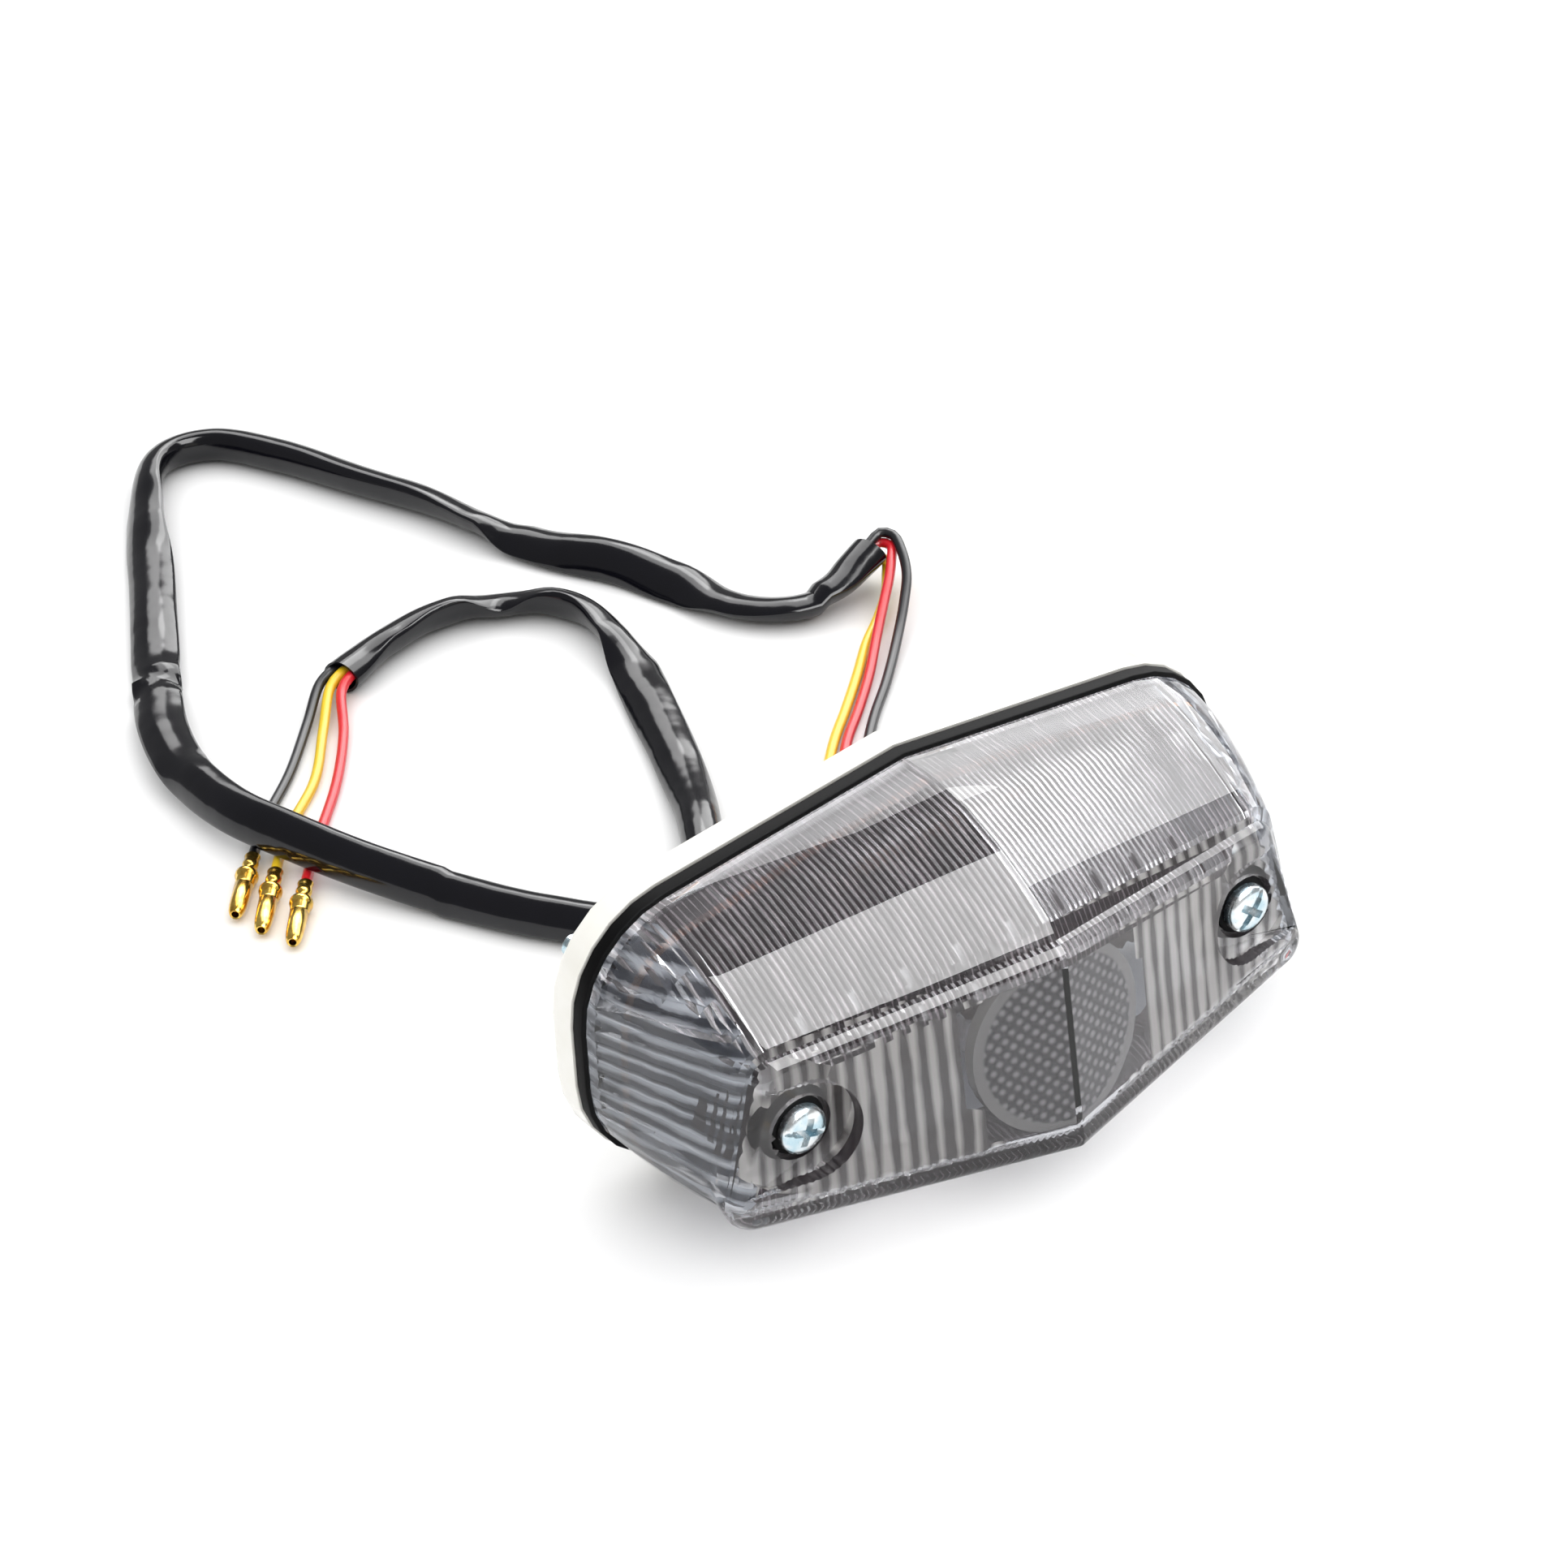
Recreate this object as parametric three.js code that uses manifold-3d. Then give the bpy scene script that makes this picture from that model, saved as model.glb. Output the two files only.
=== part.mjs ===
import * as THREE from "three";
import { mergeVertices } from "three/addons/utils/BufferGeometryUtils.js";
import Module from "manifold-3d";

// Tail light with a tapered hexagonal lens, for a motorcycle. Millimetres, +Z up, lens towards -Y.
// Shapes are made about the centre of the plane where the lens meets the gasket, and the whole
// group is then moved so that the light stands on z = 0.

const wasm = await Module();
wasm.setup();

// ---- driving dimensions ----

// outline shared by the base and the gasket: a hexagon, peaked at top and bottom, with round ends
const bodyWidth = 120;
const bodyPeakHeight = 57.3;
const bodyEndHeight = 43.4;
const bodyCornerRadius = 18.3;

const gasketThickness = 2.6;
const gasketBand = 4.6;

const baseDepth = 5.4;
const baseWall = 2.5;
const baseFloor = 2.5;
const baseEdgeRadius = 1.4;

// lens: inset from the gasket's edge at the back, and a smaller, lower-set outline in front
const lensInset = 1;
const lensWall = 2.2;
const frontWidthTop = 96;
const frontWidthBottom = 109.5;
const frontEndTop = 9.1;
const frontEndBottom = -17.8;
const frontCreaseTop = 14;
const frontCreaseBottom = -21.2;
const frontCornerRadius = 4;
const frontEdgeRadius = 2.2;
const depthEndTop = 27.3;
const depthEndBottom = 28.5;
const depthCreaseTop = 37.3;
const depthCreaseBottom = 41.1;
const creaseBulge = 4.4;
const endBulge = 0.5; // share of the crease's bulge that the ends have
const undersideBulge = 1.8;
const lipDrop = 2.6; // step in the underside, just behind the front
const lipStart = 0.8; // where the step starts and ends, as shares of the way to the front
const lipEnd = 0.9;
const smallestCorner = 0.6;

// clear window in the underside of the lens
const windowTop = -14.8;
const windowFront = -22;

// round reflector behind the middle of the front
const reflectorRadius = 15;
const reflectorThickness = 2;
const reflectorDrop = 3;
const reflectorSteps = 48;

// long screws that hold the lens and go on through the base
const screwX = 41.8;
const screwDrop = 3.4;
const screwRadius = 2;
const screwHeadRadius = 3.9;
const screwHeadHeight = 2.4;
const screwHeadDome = 1.1; // height of the head's rounded part
const screwBehindBase = 22;
const screwChamfer = 0.6;
const slotWidth = 1;
const slotDepth = 0.9;
const crossWidth = 1.3;
const crossLength = 4.4;
const crossDepth = 1.5;
const padDepth = 28.2;
const padRadius = 8.4;
const counterboreDepth = 1.4;
const counterboreRoom = 0.6; // radial, round the washer
const bossWall = 0.9; // outside the counterbore
const washerThickness = 0.8;
const washerRim = 0.8; // how far the washer stands out round the head
const bushWall = 1.1;
const pillarWall = 2.1; // round the bush

// circuit board and what stands on it
const boardMargin = 1.1; // inside the lens wall
const boardThickness = 1.6;
const boardDepth = 3.3;
const boardScrewX = 24;
const boardScrewZ = 13;
const boardScrewRadius = 1;
const boardScrewLength = 6;
const boardScrewHeadRadius = 2.2;
const boardScrewHeadHeight = 1.5;
const boardScrewPoint = 0.6;
const standoffWall = 1.5; // round the board screw's hole
const ledRadius = 2.5;
const ledFlange = 0.4; // how far the foot stands out
const ledFootHeight = 1;
const ledHeight = 8.6;
const ledSpacingX = 9.6;
const ledSpacingZ = 9.5;
const ledColumns = 6;
const ledRows = 2;
const ledMiddleZ = 2.2;
const plateLeds = 3;
const plateLedSpacing = 17;
const plateLedZ = -17;
const resistorRadius = 1.15;
const resistorLength = 6.2;
const resistorLead = 2.2;
const leadRadius = 0.3;
const resistors = 3;
const resistorZ = 16.2;
const resistorSpacing = 12;
const diodeX = 30.4;
const diodeZ = 2.4;
const regulatorX = -36;
const regulatorZ = 9.5;
const regulatorWidth = 4.6;
const regulatorHeight = 4.8;

// harness
const wireRadius = 0.9;
const wireSides = 8;
const nearSteps = 18;
const farSteps = 7;
const grommetX = 0;
const grommetZ = -6;
const grommetRadius = 4.2;
const grommetLip = 1.6; // how far its flanges reach over the wall
const grommetFlangeThickness = 1.6;
const wireSpacing = 0.4; // between wires in the grommet
const sleeveRadius = 3.5;
const sleeveSides = 12;
const sleeveSteps = 32;
const bulletRadius = 1.95; // at its shoulder
const bulletLength = 16.2;
const crimpRadius = 1.3;
const crimpLength = 3.2;
const neckRadius = 0.95;
const neckEnd = 4.4;
const shoulderStart = 5.3;
const shoulderEnd = 6;
const bulletBodyRadius = 1.6;
const bulletTipRadius = 1;

const gap = 0.3; // between pieces that touch in the real light
const holeGap = 0.3; // radial, between a screw and its hole
const past = 1; // how far a cut runs past a face
const arcSteps = 6;
const roundSteps = 24;
const smallSteps = 16;
const ledSides = 14;
const leadSides = 12;
const roundingAngles = [0, 30, 60, 90];

// ---- values that follow from them ----

const baseBack = gasketThickness + baseDepth;
const floorFront = baseBack - baseFloor;
const counterboreSeat = -padDepth + counterboreDepth;
const washerRadius = screwHeadRadius + washerRim;
const counterboreRadius = washerRadius + counterboreRoom;
const bossRadius = counterboreRadius + bossWall;
const screwBore = screwRadius + holeGap;
const bushRadius = screwBore + bushWall;
const bushHoleRadius = bushRadius + holeGap;
const pillarRadius = bushHoleRadius + pillarWall;
const boardScrewBore = boardScrewRadius + holeGap;
const standoffRadius = boardScrewBore + standoffWall;
const boardBack = -boardDepth;
const boardFront = boardBack - boardThickness;
const headSeat = counterboreSeat - washerThickness;
const headTop = headSeat - screwHeadHeight;
const screwTip = baseBack + screwBehindBase;
const screwLength = screwTip - headTop;
const grommetFlange = grommetRadius + grommetLip;
const grommetInner = floorFront - grommetFlangeThickness;
const grommetOuter = baseBack + grommetFlangeThickness;
const wirePitch = 2 * wireRadius + wireSpacing;
const frontMost = -frontDepth(0, frontCreaseBottom + frontEdgeRadius);
const standHeight = bodyPeakHeight / 2;
const middleY = (frontMost + screwTip) / 2;

const group = new THREE.Group();
group.position.set(0, -middleY, standHeight);

// ---- materials ----

function finish(color, roughness, metalness, opacity = 1) {
  return new THREE.MeshStandardMaterial({
    color, roughness, metalness, opacity, transparent: opacity < 1,
  });
}

const ivoryPlastic = () => finish(0xf1f0eb, 0.3, 0);
const blackRubber = () => finish(0x151516, 0.7, 0);
const smokedPlastic = () => finish(0x5b5f66, 0.08, 0, 0.5);
const clearPlastic = () => finish(0xe6eaec, 0.06, 0, 0.35);
const zincSteel = () => finish(0xc2cbd0, 0.3, 0.9);
const brass = () => finish(0xc9a24a, 0.3, 0.95);
const boardResin = () => finish(0xa87b43, 0.6, 0);
const blackVinyl = () => finish(0x14141b, 0.28, 0);

// ---- helpers ----

// a closed geometry as a solid that can be joined and cut
function toSolid(geometry) {
  const bare = geometry.clone();
  bare.deleteAttribute("normal");
  bare.deleteAttribute("uv");
  const merged = mergeVertices(bare, 1e-5);
  return new wasm.Manifold(new wasm.Mesh({
    numProp: 3,
    vertProperties: new Float32Array(merged.attributes.position.array),
    triVerts: new Uint32Array(merged.index.array),
  }));
}

function toGeometry(solid) {
  const mesh = solid.getMesh();
  const geometry = new THREE.BufferGeometry();
  geometry.setAttribute("position", new THREE.BufferAttribute(mesh.vertProperties, 3));
  geometry.setIndex(new THREE.BufferAttribute(mesh.triVerts, 1));
  geometry.computeVertexNormals();
  return geometry;
}

function addPiece(name, geometry, material) {
  const mesh = new THREE.Mesh(geometry, material);
  mesh.name = name;
  group.add(mesh);
  return mesh;
}

// a shape drawn in x and z, extruded from yBack forwards (towards -Y) to yFront
function plate(shape, yFront, yBack) {
  const geometry = new THREE.ExtrudeGeometry(shape, { depth: yBack - yFront, bevelEnabled: false });
  geometry.rotateX(Math.PI / 2);
  geometry.translate(0, yBack, 0);
  return geometry;
}

// a cylinder along Y between two depths
function rod(radius, yFront, yBack, x, z, sides = roundSteps) {
  const geometry = new THREE.CylinderGeometry(radius, radius, yBack - yFront, sides);
  geometry.translate(x, (yFront + yBack) / 2, z);
  return geometry;
}

// a box between two corners
function block(low, high) {
  const geometry = new THREE.BoxGeometry(high[0] - low[0], high[1] - low[1], high[2] - low[2]);
  geometry.translate((low[0] + high[0]) / 2, (low[1] + high[1]) / 2, (low[2] + high[2]) / 2);
  return geometry;
}

// a turned piece: profile points are [radius, distance along the axis], the axis is +Y
function turned(profile, sides) {
  return new THREE.LatheGeometry(profile.map(([r, y]) => new THREE.Vector2(r, y)), sides);
}

// the corner of an outline, rounded: points on an arc that touches both edges
function roundedCorner(before, corner, after, radius) {
  const toBefore = before.clone().sub(corner).normalize();
  const toAfter = after.clone().sub(corner).normalize();
  const half = toBefore.angleTo(toAfter) / 2;
  const middle = toBefore.clone().add(toAfter).normalize();
  const centre = corner.clone().addScaledVector(middle, radius / Math.sin(half));
  const start = corner.clone().addScaledVector(toBefore, radius / Math.tan(half)).sub(centre);
  const end = corner.clone().addScaledVector(toAfter, radius / Math.tan(half)).sub(centre);
  const from = Math.atan2(start.y, start.x);
  let sweep = Math.atan2(end.y, end.x) - from;
  if (sweep > Math.PI) sweep -= 2 * Math.PI;
  if (sweep < -Math.PI) sweep += 2 * Math.PI;
  const points = [];
  for (let i = 0; i <= arcSteps; i++) {
    const angle = from + (sweep * i) / arcSteps;
    points.push(new THREE.Vector2(centre.x + radius * Math.cos(angle), centre.y + radius * Math.sin(angle)));
  }
  return points;
}

// The outline of base, gasket, board and lens, as x and z, from the left end over the top to the
// right end and back along the bottom. The top and bottom halves have the same number of points.
function hexOutline({ halfTop, halfBottom, endTop, peakTop, endBottom, peakBottom, radius }) {
  const v = (x, z) => new THREE.Vector2(x, z);
  const topLeft = roundedCorner(v(-halfBottom, endBottom), v(-halfTop, endTop), v(0, peakTop), radius);
  const bottomLeft = roundedCorner(v(-halfTop, endTop), v(-halfBottom, endBottom), v(0, peakBottom), radius);
  const mirror = (points) => points.map((p) => v(-p.x, p.y)).reverse();
  const top = [...topLeft, v(0, peakTop), ...mirror(topLeft)];
  const bottom = [...bottomLeft, v(0, peakBottom), ...mirror(bottomLeft)];
  return { top, bottom };
}

function bodyOutline(inset) {
  return hexOutline({
    halfTop: bodyWidth / 2 - inset,
    halfBottom: bodyWidth / 2 - inset,
    endTop: bodyEndHeight / 2 - inset,
    peakTop: bodyPeakHeight / 2 - inset,
    endBottom: -bodyEndHeight / 2 + inset,
    peakBottom: -bodyPeakHeight / 2 + inset,
    radius: bodyCornerRadius - inset,
  });
}

function outlineShape({ top, bottom }) {
  return new THREE.Shape([...bottom, ...top.slice().reverse()]);
}

// a closed solid through a row of rings with equal numbers of points, capped at both ends; each
// ring holds its top row and its bottom row, and a cap joins one row to the other
function loft(rings) {
  const rows = rings.map(({ top, bottom }) => [...top, ...bottom.slice().reverse()]);
  const count = rows[0].length;
  const half = count / 2;
  const positions = rows.flat().flatMap((p) => [p.x, p.y, p.z]);
  const index = [];
  for (let r = 0; r + 1 < rows.length; r++) {
    for (let i = 0; i < count; i++) {
      const a = r * count + i;
      const b = r * count + ((i + 1) % count);
      index.push(a, b + count, b, a, a + count, b + count);
    }
  }
  const lastRow = (rows.length - 1) * count;
  for (let i = 0; i + 1 < half; i++) {
    const j = count - 1 - i;
    index.push(i, i + 1, j - 1, i, j - 1, j);
    index.push(lastRow + i, lastRow + j - 1, lastRow + i + 1, lastRow + i, lastRow + j, lastRow + j - 1);
  }
  const geometry = new THREE.BufferGeometry();
  geometry.setAttribute("position", new THREE.Float32BufferAttribute(positions, 3));
  geometry.setIndex(index);
  return geometry;
}

// ---- lens shape ----

// how far the lens front stands out at a place on it, before its edge is rounded
function frontDepth(x, z) {
  const k = (z - frontCreaseBottom) / (frontCreaseTop - frontCreaseBottom);
  const crease = THREE.MathUtils.lerp(depthCreaseBottom, depthCreaseTop, k);
  const end = THREE.MathUtils.lerp(depthEndBottom, depthEndTop, k);
  const halfWidth = THREE.MathUtils.lerp(frontWidthBottom, frontWidthTop, k) / 2;
  return crease - (crease - end) * Math.abs(x) / halfWidth;
}

// an outline part of the way from the back of the lens (0) to its front (1)
function lensOutline(t, inset) {
  const mix = (back, front) => THREE.MathUtils.lerp(back, front, t) - inset;
  const arch = 4 * t * (1 - t);
  const bulge = creaseBulge * arch;
  const lip = lipDrop * (1 - THREE.MathUtils.smoothstep(t, lipStart, lipEnd)) * t - undersideBulge * arch;
  return hexOutline({
    halfTop: mix(bodyWidth / 2 - lensInset, frontWidthTop / 2),
    halfBottom: mix(bodyWidth / 2 - lensInset, frontWidthBottom / 2),
    endTop: mix(bodyEndHeight / 2 - lensInset, frontEndTop) + bulge * endBulge,
    peakTop: mix(bodyPeakHeight / 2 - lensInset, frontCreaseTop) + bulge,
    endBottom: -mix(bodyEndHeight / 2 - lensInset, -frontEndBottom) + lip,
    peakBottom: -mix(bodyPeakHeight / 2 - lensInset, -frontCreaseBottom) + lip,
    radius: Math.max(mix(bodyCornerRadius - lensInset, frontCornerRadius), smallestCorner),
  });
}

function lensRing(t, inset, depthLoss) {
  const outline = lensOutline(t, inset);
  const raise = (p) => new THREE.Vector3(p.x, -t * (frontDepth(p.x, p.y) - depthLoss), p.y);
  return { top: outline.top.map(raise), bottom: outline.bottom.map(raise) };
}

// the solid inside the lens's outer surface, or inside the same surface moved inwards
function lensBody(inset) {
  const stations = [0, 0.2, 0.4, 0.6, 0.74, lipStart, (lipStart + lipEnd) / 2, lipEnd];
  const rings = stations.map((t) => lensRing(t, inset, inset));
  for (const angle of roundingAngles) {
    const a = THREE.MathUtils.degToRad(angle);
    const edgeInset = frontEdgeRadius * (1 - Math.cos(a));
    const edgeLoss = frontEdgeRadius * (1 - Math.sin(a));
    rings.push(lensRing(1, inset + edgeInset, inset + edgeLoss));
  }
  return rings;
}

const sides = [["left", -1], ["right", 1]];

// the flat pad around a screw: a round-ended pocket that runs out through the end of the lens
function padPocket(side) {
  const far = bodyWidth;
  const shape = new THREE.Shape();
  shape.moveTo(side * far, -screwDrop - padRadius);
  shape.lineTo(side * screwX, -screwDrop - padRadius);
  const turn = Math.PI / 2;
  shape.absarc(side * screwX, -screwDrop, padRadius, -turn, turn, side > 0);
  shape.lineTo(side * far, -screwDrop + padRadius);
  shape.closePath();
  return plate(shape, frontMost - past, -padDepth);
}

function lensShell() {
  const outer = toSolid(loft(lensBody(0)));
  const innerRings = lensBody(lensWall);
  const mouth = {
    top: innerRings[0].top.map((p) => p.clone().setY(past)),
    bottom: innerRings[0].bottom.map((p) => p.clone().setY(past)),
  };
  const inner = toSolid(loft([mouth, ...innerRings]));
  let shell = outer.subtract(inner);
  for (const [, side] of sides) {
    const x = side * screwX;
    const padBack = counterboreSeat + lensWall;
    const pad = toSolid(rod(padRadius + lensWall, -padDepth, padBack, x, -screwDrop)).intersect(outer);
    shell = shell.add(pad);
    shell = shell.add(toSolid(rod(bossRadius, -padDepth, 0, x, -screwDrop)));
    shell = shell.subtract(toSolid(padPocket(side)));
    const counterbore = rod(counterboreRadius, -padDepth - past, counterboreSeat, x, -screwDrop);
    shell = shell.subtract(toSolid(counterbore));
    shell = shell.subtract(toSolid(rod(screwBore, -padDepth - past, past, x, -screwDrop)));
  }
  return shell;
}

function windowBlock(shrink) {
  return toSolid(block(
    [-bodyWidth, windowFront + shrink, -bodyPeakHeight],
    [bodyWidth, past, windowTop - shrink],
  ));
}

function makeLens() {
  const shell = lensShell();
  addPiece("smoked_lens", toGeometry(shell.subtract(windowBlock(0))), smokedPlastic());
  addPiece("plate_window", toGeometry(shell.intersect(windowBlock(gap))), clearPlastic());
}

function makeReflector() {
  const outside = toSolid(loft(lensBody(lensWall + gap)));
  const inside = toSolid(loft(lensBody(lensWall + gap + reflectorThickness)));
  const middle = -depthEndTop / 2;
  const disc = toSolid(rod(reflectorRadius, frontMost, middle, 0, -reflectorDrop, reflectorSteps));
  addPiece("round_reflector", toGeometry(outside.subtract(inside).intersect(disc)), smokedPlastic());
}

// ---- base, gasket and screws ----

// the base's solid with its back edge rounded
function baseOuter() {
  const place = (inset, y) => {
    const { top, bottom } = bodyOutline(inset);
    const at = (p) => new THREE.Vector3(p.x, y, p.y);
    return { top: top.map(at), bottom: bottom.map(at) };
  };
  const rings = [];
  for (const angle of roundingAngles.toReversed()) {
    const a = THREE.MathUtils.degToRad(angle);
    const inset = baseEdgeRadius * (1 - Math.cos(a));
    rings.push(place(inset, baseBack - baseEdgeRadius * (1 - Math.sin(a))));
  }
  rings.push(place(0, gasketThickness));
  return toSolid(loft(rings));
}

function makeBase() {
  const hollow = toSolid(plate(outlineShape(bodyOutline(baseWall)), -past, floorFront));
  let base = baseOuter().subtract(hollow);
  for (const [, side] of sides) {
    const boardX = side * boardScrewX;
    const footing = baseBack - baseFloor / 2;
    base = base.add(toSolid(rod(pillarRadius, gap, footing, side * screwX, -screwDrop)));
    const standoff = rod(standoffRadius, boardBack + gap, footing, boardX, boardScrewZ, smallSteps);
    base = base.add(toSolid(standoff));
    base = base.subtract(toSolid(rod(bushHoleRadius, -past, baseBack + past, side * screwX, -screwDrop)));
    const depth = boardBack + boardScrewLength;
    const pilot = rod(boardScrewBore, boardBack - past, depth, boardX, boardScrewZ, smallSteps);
    base = base.subtract(toSolid(pilot));
  }
  const wireHole = rod(grommetRadius + gap, 0, baseBack + past, grommetX, grommetZ);
  base = base.subtract(toSolid(wireHole));
  addPiece("base_housing", toGeometry(base), ivoryPlastic());
}

function makeGasket() {
  const shape = outlineShape(bodyOutline(gap));
  shape.holes.push(new THREE.Path(outlineShape(bodyOutline(gasketBand)).getPoints()));
  addPiece("lens_gasket", plate(shape, gap / 2, gasketThickness - gap / 2), blackRubber());
}

function makeScrew(name, x, turn) {
  const profile = [
    [0, 0], [screwHeadRadius * 0.55, screwHeadDome * 0.1], [screwHeadRadius * 0.85, screwHeadDome * 0.35],
    [screwHeadRadius, screwHeadDome], [screwHeadRadius, screwHeadHeight], [screwRadius, screwHeadHeight],
    [screwRadius, screwLength - screwChamfer], [screwRadius - screwChamfer, screwLength],
    [0, screwLength],
  ];
  let screw = toSolid(turned(profile, roundSteps));
  const reach = screwHeadRadius + past;
  const cuts = [
    block([-reach, -past, -slotWidth / 2], [reach, slotDepth, slotWidth / 2]),
    block([-crossLength / 2, -past, -crossWidth / 2], [crossLength / 2, crossDepth, crossWidth / 2]),
    block([-crossWidth / 2, -past, -crossLength / 2], [crossWidth / 2, crossDepth, crossLength / 2]),
  ];
  for (const cut of cuts) {
    screw = screw.subtract(toSolid(cut));
  }
  const geometry = toGeometry(screw);
  geometry.rotateY(turn);
  geometry.translate(x, headTop, -screwDrop);
  addPiece(name, geometry, zincSteel());
}

// a ring round a screw's shank
function ringPiece(name, outerRadius, yFront, yBack, x, material) {
  const profile = [
    [screwBore, yFront], [outerRadius, yFront], [outerRadius, yBack], [screwBore, yBack],
    [screwBore, yFront],
  ];
  const geometry = turned(profile, roundSteps);
  geometry.translate(x, 0, -screwDrop);
  addPiece(name, geometry, material);
}

// how far each screw happens to be turned
const screwTurn = { left: 0.35, right: -0.9 };

function makeFasteners() {
  for (const [word, side] of sides) {
    const x = side * screwX;
    makeScrew(`lens_screw_${word}`, x, screwTurn[word]);
    ringPiece(`sealing_washer_${word}`, washerRadius, headSeat + gap / 3, counterboreSeat - gap / 3, x,
      blackRubber());
    ringPiece(`threaded_bush_${word}`, bushRadius, 2 * gap, baseBack - gap, x, brass());
  }
}

// ---- circuit board ----

// the board follows the inside of the lens at the board's own depth
function makeBoard() {
  const outline = lensOutline(-boardFront / depthEndTop, lensWall + boardMargin);
  let board = toSolid(plate(outlineShape(outline), boardFront, boardBack));
  for (const [, side] of sides) {
    const bossHole = rod(bossRadius + 2 * gap, boardFront - past, 0, side * screwX, -screwDrop);
    board = board.subtract(toSolid(bossHole));
    const screwHole = rod(boardScrewBore, boardFront - past, 0, side * boardScrewX, boardScrewZ, smallSteps);
    board = board.subtract(toSolid(screwHole));
  }
  addPiece("led_board", toGeometry(board), boardResin());
  for (const [word, side] of sides) {
    const head = boardFront - gap - boardScrewHeadHeight;
    const tip = boardScrewHeadHeight + boardThickness + boardScrewLength - gap;
    const profile = [
      [0, 0], [boardScrewHeadRadius * 0.7, boardScrewHeadHeight * 0.1],
      [boardScrewHeadRadius, boardScrewHeadHeight * 0.5], [boardScrewHeadRadius, boardScrewHeadHeight],
      [boardScrewRadius, boardScrewHeadHeight], [boardScrewRadius, tip - boardScrewPoint], [0, tip],
    ];
    const geometry = turned(profile, smallSteps);
    geometry.translate(side * boardScrewX, head, boardScrewZ);
    addPiece(`board_screw_${word}`, geometry, zincSteel());
  }
}

// a round-topped LED that stands on the board's front
function ledGeometry() {
  const footRadius = ledRadius + ledFlange;
  const profile = [[0, 0], [footRadius, 0], [footRadius, -ledFootHeight], [ledRadius, -ledFootHeight]];
  const domeStart = ledHeight - ledRadius;
  for (const angle of [0, 30, 60]) {
    const a = THREE.MathUtils.degToRad(angle);
    profile.push([ledRadius * Math.cos(a), -domeStart - ledRadius * Math.sin(a)]);
  }
  profile.push([0, -ledHeight]);
  return turned(profile.reverse(), ledSides);
}

function makeLeds() {
  let number = 0;
  for (let row = 0; row < ledRows; row++) {
    for (let column = 0; column < ledColumns; column++) {
      number += 1;
      const geometry = ledGeometry();
      const x = (column - (ledColumns - 1) / 2) * ledSpacingX;
      const z = ledMiddleZ + (row - (ledRows - 1) / 2) * ledSpacingZ;
      geometry.translate(x, boardFront - gap, z);
      addPiece(`tail_led_${number}`, geometry, finish(0xe9edf0, 0.2, 0));
    }
  }
  for (let i = 0; i < plateLeds; i++) {
    const geometry = ledGeometry();
    geometry.translate((i - (plateLeds - 1) / 2) * plateLedSpacing, boardFront - gap, plateLedZ);
    addPiece(`plate_led_${i + 1}`, geometry, finish(0xe9edf0, 0.2, 0));
  }
}

// a small part with a lead at each end, lying along X on the board's front
function axialPart(radius, length) {
  const half = length / 2;
  const waist = half - radius / 2;
  const end = half + resistorLead;
  const geometry = turned([
    [0, -end], [leadRadius, -end], [leadRadius, -half], [radius * 0.8, -half], [radius, -waist],
    [radius, waist], [radius * 0.8, half], [leadRadius, half], [leadRadius, end], [0, end],
  ], leadSides);
  geometry.rotateZ(Math.PI / 2);
  return geometry;
}

function makeBoardParts() {
  const y = boardFront - gap - resistorRadius;
  for (let i = 0; i < resistors; i++) {
    const resistor = axialPart(resistorRadius, resistorLength);
    resistor.translate((i - (resistors - 1) / 2) * resistorSpacing, y, resistorZ);
    addPiece(`resistor_${i + 1}`, resistor, finish(0xc9b48a, 0.5, 0));
  }
  const diode = axialPart(resistorRadius, resistorLength);
  diode.rotateY(Math.PI / 2);
  diode.translate(diodeX, y, diodeZ);
  addPiece("supply_diode", diode, finish(0x1c1c1e, 0.4, 0));
  const shape = new THREE.Shape();
  const half = regulatorWidth / 2;
  shape.moveTo(-half, 0);
  shape.lineTo(half, 0);
  shape.absarc(0, 0, half, 0, Math.PI, false);
  const regulator = plate(shape, 0, regulatorHeight);
  regulator.translate(regulatorX, boardFront - gap - regulatorHeight, regulatorZ);
  addPiece("voltage_regulator", regulator, finish(0x202124, 0.5, 0));
}

// ---- harness ----

function tube(points, radius, steps, sideCount) {
  const curve = new THREE.CatmullRomCurve3(points.map(([x, y, z]) => new THREE.Vector3(x, y, z)));
  const section = new THREE.Shape();
  for (let i = 0; i < sideCount; i++) {
    const a = ((i + 0.5) / sideCount) * 2 * Math.PI;
    if (i === 0) section.moveTo(radius * Math.cos(a), radius * Math.sin(a));
    else section.lineTo(radius * Math.cos(a), radius * Math.sin(a));
  }
  section.closePath();
  return new THREE.ExtrudeGeometry(section, { steps, extrudePath: curve, bevelEnabled: false });
}

// Routes are chosen by hand: x and y from the middle of the lens plane, z from the surface that the
// light stands on. A near wire starts at the grommet and a far wire ends in its bullet.
function onFloor(points) {
  return points.map(([x, y, z]) => [x, y, z - standHeight]);
}

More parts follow.
